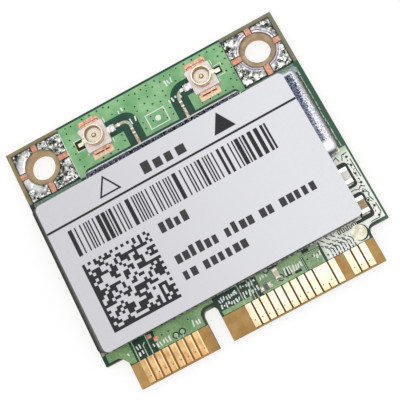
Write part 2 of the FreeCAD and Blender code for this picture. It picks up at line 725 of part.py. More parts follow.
# Chip parts outside the shield: in the feed lines, at the right edge, and above the contact tab
def outer_chip_parts():
    all_lands = []
    feed = [
        chip_part("left_feed_part", (LEFT_FEED, FEED_PART_Y), "tiny", True, "tiny_height"),
        chip_part("right_feed_part", (RIGHT_FEED, FEED_PART_Y), "tiny", True, "tiny_height"),
    ]
    side_x = f"({RIGHT} - side_inset)"
    side = [
        chip_part(f"{tag}_side_part", (side_x, f"{EARS} + {tag}_side_rise"), "large", True, "large_height")
        for tag in ("upper", "lower")
    ]
    upright = ("upright_part_x", f"{EARS} + upright_part_rise")
    level = ("level_part_x", f"{EARS} - level_part_drop")
    edge = [
        chip_part("upright_edge_part", upright, "small", True, "small_height"),
        chip_part("level_edge_part", level, "small", False, "small_height"),
    ]
    for label, caps_label, parts in (
        ("feed_capacitors", "feed_capacitor_caps", feed),
        ("side_capacitors", "side_capacitor_caps", side),
        ("edge_chip_parts", "edge_chip_caps", edge),
    ):
        group(label, [core for core, caps, lands in parts])
        group(caps_label, [cap for core, caps, lands in parts for cap in caps])
        all_lands += [land for core, caps, lands in parts for land in lands]
    group("outer_chip_lands", all_lands)
    bare = ("bare_land_size", "bare_land_size", "land_thickness")
    empty = []
    for tag, sign in (("upper", -1), ("lower", 1)):
        middle = (
            f"-bare_land_x + {sign} * bare_land_step / 2",
            f"{EARS} + bare_land_rise - {sign} * bare_land_step / 2",
        )
        empty.append(block_on(f"{tag}_empty_land", middle, DECK, bare))
    group("empty_lands", empty)


# Pieces under the shield: radio chip, front-end modules, filters, crystal, memory, power coil, and
# columns of capacitors and resistors
def radio_chip():
    body = new_body("radio_chip")
    half = ("radio_width / 2", "radio_width / 2")
    corners = oblong(tuple(f"-{side}" for side in half), half)
    pad(body, polygon(body, "radio_outline", corners), "radio_height")
    rim = edges_where(body.Shape, lies_at_height("radio_height"))
    round_edges(body, "Chamfer", "radio_rim", rim, "radio_edge")
    mark = ("-radio_width / 2 + dimple_inset", "radio_width / 2 - dimple_inset", "dimple_diameter")
    pocket(body, rounds(body, "radio_mark", [mark], "radio_height - dimple_depth"), "dimple_depth")
    place_body(body, (RADIO_X, RADIO_Y), LAND_TOP, "0")
    return keep(body)


def chip_land(name, middle, length, width):
    size = (f"{length} - 2 * chip_land_margin", f"{width} - 2 * chip_land_margin", "land_thickness")
    return block_on(f"{name}_land", middle, DECK, size)


def chip_column(name, middle, count, height):
    """Small chip parts side by side, one above the other."""
    parts = []
    for place in range(count):
        step = place - (count - 1) / 2
        spot = (middle[0], f"{middle[1]} + {step} * column_pitch")
        parts.append(chip_part(f"{name}_{place}", spot, "small", False, height))
    return parts


def inner_pieces():
    radio_chip()
    lands = [chip_land("radio", (RADIO_X, RADIO_Y), "radio_width", "radio_width")]
    filters = []
    for hand, sign, line_x in (("left", -1, LEFT_FEED), ("right", 1, RIGHT_FEED)):
        front = (f"{FEED_MIDDLE} + {sign} * (front_width + front_gap) / 2", FRONT_Y)
        square = ("front_width", "front_width", "front_height")
        keep(block_on(f"{hand}_front_end", front, LAND_TOP, square))
        lands.append(chip_land(f"{hand}_front_end", front, "front_width", "front_width"))
        long_block = ("filter_width", "filter_length", "filter_height")
        filters.append(block_on(f"{hand}_filter", (line_x, FILTER_Y), LAND_TOP, long_block))
        lands.append(chip_land(f"{hand}_filter", (line_x, FILTER_Y), "filter_width", "filter_length"))
    group("antenna_filters", filters)

    crystal = (FEED_MIDDLE, f"{INNER_LOW} + crystal_width / 2")
    keep(block_on("crystal_base", crystal, LAND_TOP, ("crystal_length", "crystal_width", "crystal_height")))
    lid = ("crystal_length - 2 * lid_margin", "crystal_width - 2 * lid_margin", "lid_height")
    keep(block_on("crystal_lid", crystal, f"{LAND_TOP} + crystal_height", lid))
    lands.append(chip_land("crystal", crystal, "crystal_length", "crystal_width"))

    coil = (f"{INNER_RIGHT} - coil_length / 2", f"{INNER_LOW} + coil_width / 2")
    core = ("coil_length - 2 * coil_plate", "coil_width", "coil_height")
    keep(block_on("power_coil", coil, LAND_TOP, core))
    plates = []
    plate = ("coil_plate", "coil_width", "coil_height")
    plate_land = ("coil_plate", "coil_width", "land_thickness")
    for tag, sign in (("low", -1), ("high", 1)):
        end = (f"{coil[0]} + {sign} * (coil_length - coil_plate) / 2", coil[1])
        plates.append(block_on(f"coil_{tag}_plate", end, LAND_TOP, plate))
        lands.append(block_on(f"coil_{tag}_land", end, DECK, plate_land))
    group("power_coil_plates", plates)

    over_coil = f"{INNER_LOW} + coil_width + parts_gap"
    memory = (f"{INNER_RIGHT} - memory_length / 2", f"{over_coil} + memory_width / 2")
    keep(block_on("setup_memory", memory, LAND_TOP, ("memory_length", "memory_width", "memory_height")))
    lands.append(chip_land("memory", memory, "memory_length", "memory_width"))

    beside_radio = "(radio_width / 2 + parts_gap + small_length / 2)"
    capacitors = []
    for hand, sign in (("left", -1), ("right", 1)):
        middle = (f"{RADIO_X} + {sign} * {beside_radio}", RADIO_Y)
        capacitors += chip_column(f"{hand}_capacitor", middle, COLUMN_CAPACITORS, "small_height")
    beside_front = f"{FEED_MIDDLE} + front_gap / 2 + front_width + parts_gap + small_length / 2"
    below_filter = f"{FRONT_Y} + (front_width - small_width - {COLUMN_RESISTORS - 1} * column_pitch) / 2"
    resistors = chip_column("resistor", (beside_front, below_filter), COLUMN_RESISTORS, "resistor_height")
    for label, caps_label, parts in (
        ("shielded_capacitors", "shielded_capacitor_caps", capacitors),
        ("shielded_resistors", "shielded_resistor_caps", resistors),
    ):
        group(label, [core for core, caps, part_lands in parts])
        group(caps_label, [cap for core, caps, part_lands in parts for cap in caps])
        lands += [land for core, caps, part_lands in parts for land in part_lands]
    group("inner_chip_lands", lands)


def write_parts():
    """Stop if anything failed, then write each sub-part's shape under its own name."""
    doc.recompute()
    failed = [thing.Name for thing in doc.Objects if {"Invalid", "Error"} & set(thing.State)]
    if failed:
        raise RuntimeError(f"failed: {failed}")
    for piece in sub_parts:
        if piece.Shape.isNull() or not piece.Shape.isValid() or not piece.Shape.Solids:
            raise RuntimeError(f"no good shape: {piece.Label}")
    os.makedirs("parts", exist_ok=True)
    for piece in sub_parts:
        piece.Shape.exportStep(f"parts/{piece.Label}.step")
        print(piece.Label, len(piece.Shape.Solids), round(piece.Shape.Volume, 4))


circuit_board()
edge_contacts()
screw_lands()
shield_track()
shield_can()
label()
receptacle_lands()
receptacle("left", LEFT_COAX, "0")
receptacle("right", RIGHT_COAX, "180")
feed_lines()
outer_chip_parts()
inner_pieces()
write_parts()
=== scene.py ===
import itertools
import math
import random

import bmesh
import bpy
from mathutils import Matrix, Vector, noise


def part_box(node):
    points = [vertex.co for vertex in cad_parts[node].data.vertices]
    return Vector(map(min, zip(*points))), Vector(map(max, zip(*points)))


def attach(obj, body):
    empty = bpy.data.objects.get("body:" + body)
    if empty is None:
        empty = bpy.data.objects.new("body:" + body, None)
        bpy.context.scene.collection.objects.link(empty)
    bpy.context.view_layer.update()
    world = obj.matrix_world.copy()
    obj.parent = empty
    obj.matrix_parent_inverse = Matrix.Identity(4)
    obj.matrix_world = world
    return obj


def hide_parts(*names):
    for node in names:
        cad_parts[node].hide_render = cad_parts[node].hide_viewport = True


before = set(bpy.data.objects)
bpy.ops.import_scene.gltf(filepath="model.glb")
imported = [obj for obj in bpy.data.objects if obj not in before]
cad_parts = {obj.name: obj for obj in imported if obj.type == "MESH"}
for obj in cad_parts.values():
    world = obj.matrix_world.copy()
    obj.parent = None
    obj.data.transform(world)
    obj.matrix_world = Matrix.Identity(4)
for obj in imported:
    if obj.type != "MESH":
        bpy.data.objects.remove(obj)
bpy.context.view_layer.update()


# Circuit board: one plate of glass-fibre laminate with green solder mask on both faces.
# It is routed to its outline, drilled for two screws and slotted for the socket's key. The contact tab
# and the two screw corners carry no mask, so the tan laminate shows there and on every cut edge.
MM = 0.001


class Value:
    """A value over a surface, held as a socket; arithmetic on values adds Math nodes."""

    def __init__(self, socket):
        self.socket = socket
        self.tree = socket.id_data

    def node(self, kind, settings, sockets, output=0):
        """Add a node: its settings first, then the values or links of its sockets."""
        made = self.tree.nodes.new(f"ShaderNode{kind}")
        for name, setting in settings.items():
            setattr(made, name, setting)
        for name, value in sockets.items():
            if isinstance(value, Value):
                self.tree.links.new(value.socket, made.inputs[name])
            else:
                made.inputs[name].default_value = value
        return Value(made.outputs[output])

    def math(self, operation, *others):
        """A Math node with this value first."""
        return self.node("Math", {"operation": operation}, dict(enumerate((self, *others))))

    def __add__(self, other):
        return self.math("ADD", other)

    def __sub__(self, other):
        return self.math("SUBTRACT", other)

    def __rsub__(self, other):
        return self.node("Math", {"operation": "SUBTRACT"}, {0: other, 1: self})

    def __mul__(self, other):
        return self.math("MULTIPLY", other)

    def __lt__(self, other):
        return self.math("LESS_THAN", other)

    def __gt__(self, other):
        return self.math("GREATER_THAN", other)

    def __abs__(self):
        return self.math("ABSOLUTE")

    __radd__ = __add__
    __rmul__ = __mul__

    def step(self, start, end):
        """0 at the start, 1 at the end, smooth between."""
        sockets = {"Value": self, "From Min": start, "From Max": end}
        return self.node("MapRange", {"interpolation_type": "SMOOTHSTEP"}, sockets)

    def blend(self, low, high):
        """One colour where this value is 0 and another where it is 1."""
        factor, first, second, result = 0, 6, 7, 2
        sockets = {factor: self, first: low, second: high}
        return self.node("Mix", {"data_type": "RGBA"}, sockets, result)

    def tones(self, low, high, start=0.3, end=0.7):
        """One screen colour up to the start, another past the end, mixed between."""
        return self.step(start, end).blend(srgb(*low), srgb(*high))

    def axes(self):
        return [self.node("SeparateXYZ", {}, {"Vector": self}, axis) for axis in "XYZ"]

    def away_from(self, spot):
        """How far this place is, seen from above, from the nearer of a spot and its mirror image."""
        x, y = self.axes()[:2]
        across = abs(x) - spot.x
        along = y - spot.y
        return (across * across + along * along).math("SQRT")

    def facing(self):
        """The way that the surface faces."""
        return self.node("TexCoord", {}, {}, "Normal")

    def grain(self, per_mm, detail=3.0, roughness=0.55):
        """Fine irregular variation, about 0.5 on average."""
        sockets = {"Vector": self, "Scale": per_mm, "Detail": detail, "Roughness": roughness}
        return self.node("TexNoise", {}, sockets)

    def relief(self, height_mm, strength):
        """A normal that makes this value a height."""
        sockets = {"Strength": strength, "Distance": height_mm * MM, "Height": self}
        return self.node("Bump", {}, sockets)


def srgb(*screen):
    """A colour as a screen shows it, 0 to 255, as the linear values that a shader takes."""
    levels = [level / 255 for level in screen]
    linear = [((level + 0.055) / 1.055) ** 2.4 if level > 0.04 else level / 12.92 for level in levels]
    return (*linear, 1.0)


def wire(node, **values):
    """Link values to a node's sockets, named with underscores for spaces."""
    for name, value in values.items():
        value.tree.links.new(value.socket, node.inputs[name.replace("_", " ")])


def new_finish(name, constants):
    """A material, the function that paints it, and the place on the surface in millimetres."""
    material = bpy.data.materials.new(name)
    material.use_nodes = True
    shader = material.node_tree.nodes["Principled BSDF"]
    for socket, level in constants.items():
        shader.inputs[socket].default_value = level
    metres = Value(shader.outputs[0]).node("TexCoord", {}, {}, "Object")
    place = metres.node("VectorMath", {"operation": "SCALE"}, {0: metres, "Scale": 1 / MM})

    def paint(colour, **others):
        wire(shader, Base_Color=colour, **others)

    return material, paint, place


def dress(finish, *names):
    """Give CAD pieces their finish."""
    for name in names:
        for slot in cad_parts[name].material_slots:
            slot.material = finish


MASK_EDGE_Y = -10.95
CONTACT_TIP_Y = -13.3
TAB_END_Y = -13.0
ANTENNA_END_Y = 7.6
MARGIN_EDGE_X = 14.1
CORNER_X = 9.25
CORNER_Y = 7.66
HOLE = Vector((12.1, 10.5))
HOLE_WALL_RADIUS = 1.5
LAND_RING_RADIUS = 1.8
MID_LEVEL = 0.5
WEAVE_PER_MM = 14
UPPER_FIELDS = ((-11.9, -5.72), (-0.7, 8.68), (9.68, 11.88))
LOWER_FIELDS = ((-11.5, -5.3), (-1.9, 12.3))

board_finish, paint, place = new_finish("board_mask", {"IOR": 1.5, "Specular IOR Level": 0.3})
x, y, z = place.axes()
up = abs(place.facing().axes()[2])
weave = (x * WEAVE_PER_MM).math("SINE") * (y * WEAVE_PER_MM).math("SINE")
cloudy = place.grain(0.8)
mask = cloudy.tones((0, 44, 28), (10, 60, 40))
mask = (y > ANTENNA_END_Y).blend(mask, cloudy.tones((14, 62, 46), (30, 80, 62)))
mask = (x > MARGIN_EDGE_X).blend(mask, srgb(40, 88, 64))
bare = cloudy.tones((164, 124, 66), (188, 150, 88))
bare = (weave.step(-1.2, 1.2) * 0.14).blend(bare, srgb(198, 158, 98))
between = (y < MASK_EDGE_Y) * (y > CONTACT_TIP_Y)
upper = z > MID_LEVEL
in_fields = sum((x > left) * (x < right) * upper for left, right in UPPER_FIELDS)
in_fields += sum((x > left) * (x < right) * (1 - upper) for left, right in LOWER_FIELDS)
# Partly painted shade: the laminate between the contacts is painted dark brown, partly its own bare colour
# and partly the shade in the narrow gaps.
right_rows = cloudy.tones((84, 66, 22), (104, 52, 24), 0.4, 0.6)
rows = x.step(-5.0, -2.0).blend(srgb(142, 96, 52), right_rows)
bare = (between * in_fields).blend(bare, rows)
khaki = cloudy.tones((124, 112, 78), (158, 144, 108), 0.25, 0.75)
khaki = ((x > 0) * 0.7).blend(khaki, srgb(124, 124, 110))
from_hole = place.away_from(HOLE)
left_ring = cloudy.tones((150, 126, 92), (188, 162, 126))
right_ring = cloudy.tones((150, 126, 98), (198, 176, 152))
ring = (x > 0).blend(left_ring, right_ring)
# Painted shade: the ring darkens towards its outer edge, beside the raised land and solder.
ring = (from_hole.step(1.6, LAND_RING_RADIUS) * 0.4).blend(ring, srgb(104, 84, 56))
corner = (from_hole < LAND_RING_RADIUS).blend(khaki, ring)
in_corner = (abs(x) > CORNER_X) * (y > CORNER_Y)
face = in_corner.blend(mask, corner)
on_tab = y < MASK_EDGE_Y
face = on_tab.blend(face, bare)
edge = place.grain(6.0).blend(srgb(120, 104, 56), srgb(158, 140, 88))
edge = (from_hole < HOLE_WALL_RADIUS).blend(edge, srgb(206, 172, 126))
edge = (y < TAB_END_Y).blend(edge, srgb(118, 80, 38))
uncoated = on_tab.math("MAXIMUM", in_corner)
paint(
    up.step(0.4, 0.6).blend(edge, face),
    Roughness=uncoated * 0.25 + 0.3 + (1 - up) * 0.2,
    Normal=(weave * uncoated * 0.3 + cloudy).relief(0.006, 0.2),
)
dress(board_finish, "circuit_board")


# Copper pours: areas of copper foil under the mask, where the green looks lighter and stands a little
# higher. The upper face has one round the antenna receptacles, with a bend left free for each feed line,
# and smaller ones beside the shield and above the contacts; the lower face has one large area.
BOARD_TOP = 0.95
POUR_TOP = 0.98
LOWER_FACE = 0.05
LOWER_POUR = 0.02
LOWER_POUR_Y = -9.7
BELOW_SHIELD = (-8.0, -8.5)
# Where the soft box's glare is painted on the upper mask and hole rims.
GLARE_X = (7.6, 8.6)
GLARE_Y = (-1.6, -3.0)


def add_block(shape, low, high):
    """A block between two opposite corners."""
    size = Vector(high) - Vector(low)
    middle = (Vector(high) + Vector(low)) / 2
    bmesh.ops.create_cube(shape, size=1, matrix=Matrix.Translation(middle) @ Matrix.Diagonal((*size, 1)))


def add_disc(shape, middle, radius, low, high, sides):
    """A flat round plate."""
    matrix = Matrix.Translation((*middle, (low + high) / 2))
    depth = high - low
    bmesh.ops.create_cone(
        shape, cap_ends=True, segments=sides, radius1=radius, radius2=radius, depth=depth, matrix=matrix
    )


def thicken(shape, flat, height):
    """Extrude flat faces upwards into a plate."""
    lifted = bmesh.ops.extrude_face_region(shape, geom=flat)["geom"]
    risen = [point for point in lifted if isinstance(point, bmesh.types.BMVert)]
    bmesh.ops.translate(shape, verts=risen, vec=(0, 0, height))


def add_plate(shape, corners, low, high):
    """A flat plate from its outline; a corner's third number is its rounding."""
    others = set(shape.faces)
    points = [shape.verts.new((*corner[:2], low)) for corner in corners]
    shape.faces.new(points)
    for point, corner in zip(points, corners):
        if len(corner) == 3:
            bmesh.ops.bevel(
                shape, geom=[point], offset=corner[2], segments=7, profile=0.5, affect="VERTICES", material=-1
            )
    thicken(shape, [face for face in shape.faces if face not in others], high - low)


def add_line(shape, points, width, low, high):
    """A flat line of one width through the points, mitred where it turns."""
    points = [Vector(point) for point in points]
    runs = [(end - start).normalized().orthogonal() for start, end in zip(points, points[1:])]
    left = []
    right = []
    for point, before, after in zip(points, [runs[0], *runs], [*runs, runs[-1]]):
        across = (before + after).normalized()
        reach = across * (width / 2 / across.dot(before))
        left.append(point + reach)
        right.append(point - reach)
    add_plate(shape, [*left, *reversed(right)], low, high)


def add_piece(name, shape, finish, slot, *stands_for):
    """Make a shape drawn in millimetres a piece that rides on the card."""
    bmesh.ops.recalc_face_normals(shape, faces=shape.faces)
    bmesh.ops.scale(shape, vec=(MM, MM, MM), verts=shape.verts)
    mesh = bpy.data.meshes.new(name)
    shape.to_mesh(mesh)
    shape.free()
    mesh.materials.append(finish)
    piece = bpy.data.objects.new(name, mesh)
    bpy.context.scene.collection.objects.link(piece)
    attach(piece, "root")
    if stands_for:
        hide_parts(*stands_for)


pour_finish, paint, place = new_finish("mask_over_copper", {"IOR": 1.5})
cloudy = place.grain(0.45, 2.0)
fine = place.grain(5.0)
tone = cloudy.tones((98, 166, 106), (154, 206, 148))
tone = (fine.step(0.35, 0.75) * 0.7).blend(tone, srgb(126, 180, 124))
x, y, z = place.axes()
upper = z > MID_LEVEL
tone = upper.blend(cloudy.tones((102, 160, 106), (122, 178, 122), 0.2, 0.8), tone)
above_contacts = upper * y.step(*BELOW_SHIELD)
low_tone = (cloudy + fine).tones((98, 142, 86), (148, 182, 124), 0.7, 1.3)
tone = above_contacts.blend(tone, low_tone)
# Painted highlight: the soft box's glare on the mask above the lower right contacts is painted near white,
# whiter towards the right.
painted_glare = upper * x.step(*GLARE_X) * y.step(*GLARE_Y) * 0.95
dull = upper * abs(x).step(9.0, 9.4) * y.step(6.0, 6.5)
dull_mask = fine.tones((80, 106, 88), (124, 148, 128), 0.35, 0.65)
flux = fine.tones((132, 144, 146), (186, 192, 198), 0.4, 0.6)
dull_mask = (x.step(12.2, 12.8) * y.step(7.3, 7.15)).blend(dull_mask, flux)
tone = dull.blend(tone, dull_mask)
glare_white = fine.tones((222, 230, 217), (248, 249, 243), 0.35, 0.6)
glare_white = (x.step(12.6, 12.9) * 0.7).blend(glare_white, srgb(252, 252, 245))
paint(painted_glare.blend(tone, glare_white), Roughness=0.16 + fine * 0.1, Normal=fine.relief(0.004, 0.2))

shape = bmesh.new()
antenna_end = [
    (-9.2, 7.5), (-9.2, 13.15), (9.2, 13.15), (9.2, 7.5), (8.65, 7.5), (8.45, 8.1, 0.3),
    (3.95, 8.1), (3.95, 9.8), (4.75, 9.8), (4.75, 11.5), (2.15, 11.5, 1.75), (2.15, 8.1),
    (-1.5, 8.1), (-1.5, 11.5, 1.3), (-4.65, 11.5), (-4.65, 9.75), (-3.3, 9.75), (-3.3, 8.1),
    (-8.45, 8.1, 0.3), (-8.65, 7.5),
]
left_ear = [
    (-14.6, -8.6), (-14.6, -9.78), (-13.45, -9.78, 0.3), (-12.65, -10.88, 0.2), (-12.12, -10.88),
    (-12.12, -8.6),
]
by_key = [
    (-9.5, -8.6), (-9.75, -10.88), (-4.8, -10.88), (-4.8, -9.65, 0.3), (-4.25, -9.3, 0.2),
    (-3.2, -9.3), (-3.2, -8.6),
]
past_key = [(-2.85, -10.88), (-2.85, -10.45), (0.3, -10.45), (0.3, -10.88)]
middle_field = [(1.4, -8.6), (1.4, -10.88), (5.95, -10.88), (5.95, -9.3), (8.0, -9.3), (8.0, -8.6)]
low_field = [(6.2, -10.88), (6.2, -9.48), (7.9, -9.48), (7.9, -10.88)]
right_field = [
    (8.15, -8.5), (8.15, -10.88), (12.5, -10.88), (12.75, -10.1, 0.3), (13.2, -9.72, 0.3),
    (14.8, -9.72), (14.8, -2.05), (12.5, -2.05), (12.5, -8.5),
]
left_shoulder = [(-14.55, 6.6), (-14.55, 7.55), (-9.24, 7.55), (-9.24, 6.6)]
right_shoulder = [(9.24, 6.6), (9.24, 7.55), (14.4, 7.55), (14.4, 6.6)]
above_tab = (left_ear, by_key, past_key, middle_field, low_field, right_field)
for outline in (left_shoulder, right_shoulder, antenna_end, *above_tab):
    add_plate(shape, outline, BOARD_TOP, POUR_TOP)
lower_area = [
    (-14.6, LOWER_POUR_Y), (-14.6, 7.3), (-9.2, 7.3), (-9.2, 13.15), (9.2, 13.15), (9.2, 7.3),
    (14.6, 7.3), (14.6, LOWER_POUR_Y),
]
add_plate(shape, lower_area, LOWER_POUR, LOWER_FACE)
add_piece("copper_pours", shape, pour_finish, "green_laminate")


# Mask openings and gaps: strips etched free of copper, which show as dark green lines and patches.
# They lie beside the receptacles' rear tails and between the lower fields. The dark plates round the two side
# capacitors and the block below the lower one are painted shade: the shade round the capacitors and the
# shadow below them.
GAP_TOP = 0.983
HAIR = 0.001
GAP_LINE = 0.1
THIN_GAP_LINE = 0.09
MARGIN_STROKES = 19
STROKE_PITCH = 0.34
MEANDER_TURNS = 5
MEANDER_PITCH = 0.4
SLANTED_LINES = 9
SLANTED_PITCH = 0.29
SLANT = 0.6
BREAK = 0.1
FIELD_END_Y = -10.9
PAD_SIDES = 20
CORNER_PAD_SIDES = 28
CORNER_PAD_GAP = ((12.02, -10.03), 0.8)
RINGED_PADS = (
    ((-7.72, -10.4), 0.22, 0.345), ((-7.02, -10.36), 0.22, 0.345),
    ((3.5, -10.25), 0.24, 0.36), ((2.55, -9.0), 0.18, 0.3),
)

gap_and_shade_finish, paint, place = new_finish("mask_over_laminate_and_shade", {"Specular IOR Level": 0.3, "Roughness": 0.35})
paint(place.grain(3.0).tones((2, 14, 8), (14, 40, 28)))

shape = bmesh.new()
# The block at x 12.1 to 12.6 is painted shadow below the lower side capacitor; the other blocks are etched
# gaps.
for low, high in (
    ((-8.2, 10.12), (-7.25, 11.12)), ((7.25, 10.3), (8.1, 11.04)), ((12.1, -9.25), (12.6, -8.8)),
    ((3.95, -10.5), (4.6, -9.75)), ((4.9, -10.62), (5.6, -10.35)), ((2.9, -9.1), (3.8, -8.75)),
    ((6.3, -9.25), (7.0, -8.85)),
):
    add_block(shape, (*low, BOARD_TOP), (*high, GAP_TOP))
# Painted shade: dark plates wider than the two side capacitors, standing for the shade round and below them.
for low_y, high_y in ((-6.0, -3.4), (-9.25, -6.6)):
    outline = [(12.6, low_y), (14.1, low_y, 0.4), (14.1, high_y, 0.4), (12.6, high_y)]
    add_plate(shape, outline, BOARD_TOP, GAP_TOP)
for path in (
    [(12.75, -3.25), (12.75, -2.55), (13.3, -2.4), (14.2, -2.35)],
    [(13.0, -2.95), (13.45, -2.7), (13.6, -3.2)],
    [(13.85, -3.25), (14.1, -2.75), (14.6, -2.7)],
    [(13.0, -6.3), (13.5, -6.25), (13.9, -6.4), (14.2, -6.15), (14.55, -6.4)],
    [(14.35, -6.6), (14.55, -7.1), (14.4, -7.4), (14.6, -7.95)],
    [(14.6, -3.4), (14.62, -4.6), (14.66, -5.4)],
    [(14.62, -8.2), (14.66, -9.1), (14.3, -9.6), (13.4, -9.6)],
):
    add_line(shape, path, THIN_GAP_LINE, BOARD_TOP, GAP_TOP)
gap_seed = random.Random(21)
for row in range(MARGIN_STROKES):
    middle = Vector((14.3 + gap_seed.uniform(-0.1, 0.14), -8.9 + STROKE_PITCH * row))
    reach = Vector((gap_seed.uniform(-0.1, 0.1), gap_seed.uniform(0.03, 0.12)))
    add_line(shape, [middle - reach, middle + reach], gap_seed.uniform(0.06, 0.1), BOARD_TOP, GAP_TOP + HAIR)
meander = []
for turn in range(MEANDER_TURNS):
    left = 10.2 + MEANDER_PITCH * turn
    right = left + MEANDER_PITCH / 2
    meander += [(left, -8.95), (left, -9.28), (right, -9.28), (right, -8.95)]
add_line(shape, meander, GAP_LINE, BOARD_TOP, GAP_TOP)
DOWN = Vector((0, -1))
DOWN_RIGHT = Vector((1, -1))
for turn in range(SLANTED_LINES):
    start = Vector((8.2 + SLANTED_PITCH * turn, -9.45 - 0.12 * (turn % 2)))
    bend = start + SLANT * DOWN_RIGHT
    first = gap_seed.uniform(0.12, 0.3)
    second = gap_seed.uniform(0.2, 0.5)
    for path in (
        [start, start + first * DOWN_RIGHT],
        [start + (first + BREAK) * DOWN_RIGHT, bend, bend + second * DOWN],
        [bend + (second + BREAK) * DOWN, (bend.x, FIELD_END_Y)],
    ):
        add_line(shape, path, gap_seed.uniform(0.08, 0.13), BOARD_TOP, GAP_TOP)
for start in (8.4, 8.95, 9.5):
    add_line(shape, [(start, -8.7), (start, -9.0), (start + 0.28, -9.28)], GAP_LINE, BOARD_TOP, GAP_TOP)
for spot, _, radius in RINGED_PADS:
    add_disc(shape, spot, radius, BOARD_TOP, GAP_TOP, PAD_SIDES)
add_disc(shape, *CORNER_PAD_GAP, BOARD_TOP, GAP_TOP - HAIR, CORNER_PAD_SIDES)
add_piece("etched_gaps_and_shade", shape, gap_and_shade_finish, "green_laminate")


# Printed lines and test pads: narrow copper lines under the mask from the contacts to the parts,
# and small round pads. The mask is thin over their edges, so they look paler than the pours.
LINE_TOP = 0.988
LINE_WIDTH = 0.11
DASHES_X = 14.45
DASHES_END_Y = 6.9
CORNER_PAD = ((11.9, -9.95), 0.76)

line_finish, paint, place = new_finish("mask_over_lines", {"IOR": 1.5, "Roughness": 0.3})
x = place.axes()[0]
thin_mask = place.grain(4.0).tones((128, 168, 126), (186, 205, 180))
beside_can = (x > MARGIN_EDGE_X) * (x < 14.32)
rusty = place.grain(6.0).tones((84, 62, 48), (168, 132, 116), 0.35, 0.65)
margin_mask = place.grain(2.0).tones((112, 150, 118), (212, 222, 204), 0.35, 0.65)
thin_mask = (x > 14.34).blend(thin_mask, margin_mask)
paint(beside_can.blend(thin_mask, rusty))

shape = bmesh.new()
for line_x in (-11.85, -10.4, -0.55, 0.5, 0.85):
    add_line(shape, [(line_x, -8.7), (line_x, MASK_EDGE_Y)], LINE_WIDTH, BOARD_TOP, LINE_TOP)
for path, width in (
    ([(-10.7, -9.55), (-10.95, -9.8), (-10.95, MASK_EDGE_Y)], LINE_WIDTH),
    ([(-7.68, -10.62), (-7.6, MASK_EDGE_Y)], LINE_WIDTH),
    ([(-7.06, -10.58), (-7.14, MASK_EDGE_Y)], LINE_WIDTH),
    ([(3.7, -10.43), (3.8, -10.6), (3.8, MASK_EDGE_Y)], 0.13),
    ([(6.05, FIELD_END_Y), (6.05, -9.4), (7.95, -9.4)], 0.07),
    ([(14.22, -1.6), (14.22, 6.3)], 0.1),
):
    add_line(shape, path, width, BOARD_TOP, LINE_TOP)
line_seed = random.Random(8)
dash_y = -1.9
while dash_y < DASHES_END_Y:
    length = line_seed.uniform(0.3, 1.4)
    dash_x = DASHES_X + line_seed.uniform(-0.03, 0.05)
    dash = [(dash_x, dash_y), (dash_x, dash_y + length)]
    add_line(shape, dash, line_seed.uniform(0.08, 0.14), BOARD_TOP, LINE_TOP)
    dash_y += length + line_seed.uniform(0.04, 0.12)
for spot, radius, _ in RINGED_PADS:
    add_disc(shape, spot, radius, BOARD_TOP, LINE_TOP, PAD_SIDES)
add_piece("printed_lines", shape, line_finish, "green_laminate")

pad_finish, paint, place = new_finish("tinned_pad", {"Roughness": 0.4, "Metallic": 0.6})
paint(place.grain(2.5).tones((176, 174, 150), (226, 222, 204)))
shape = bmesh.new()
add_disc(shape, *CORNER_PAD, BOARD_TOP, LINE_TOP, CORNER_PAD_SIDES)
add_piece("corner_test_pad", shape, pad_finish, "solder")


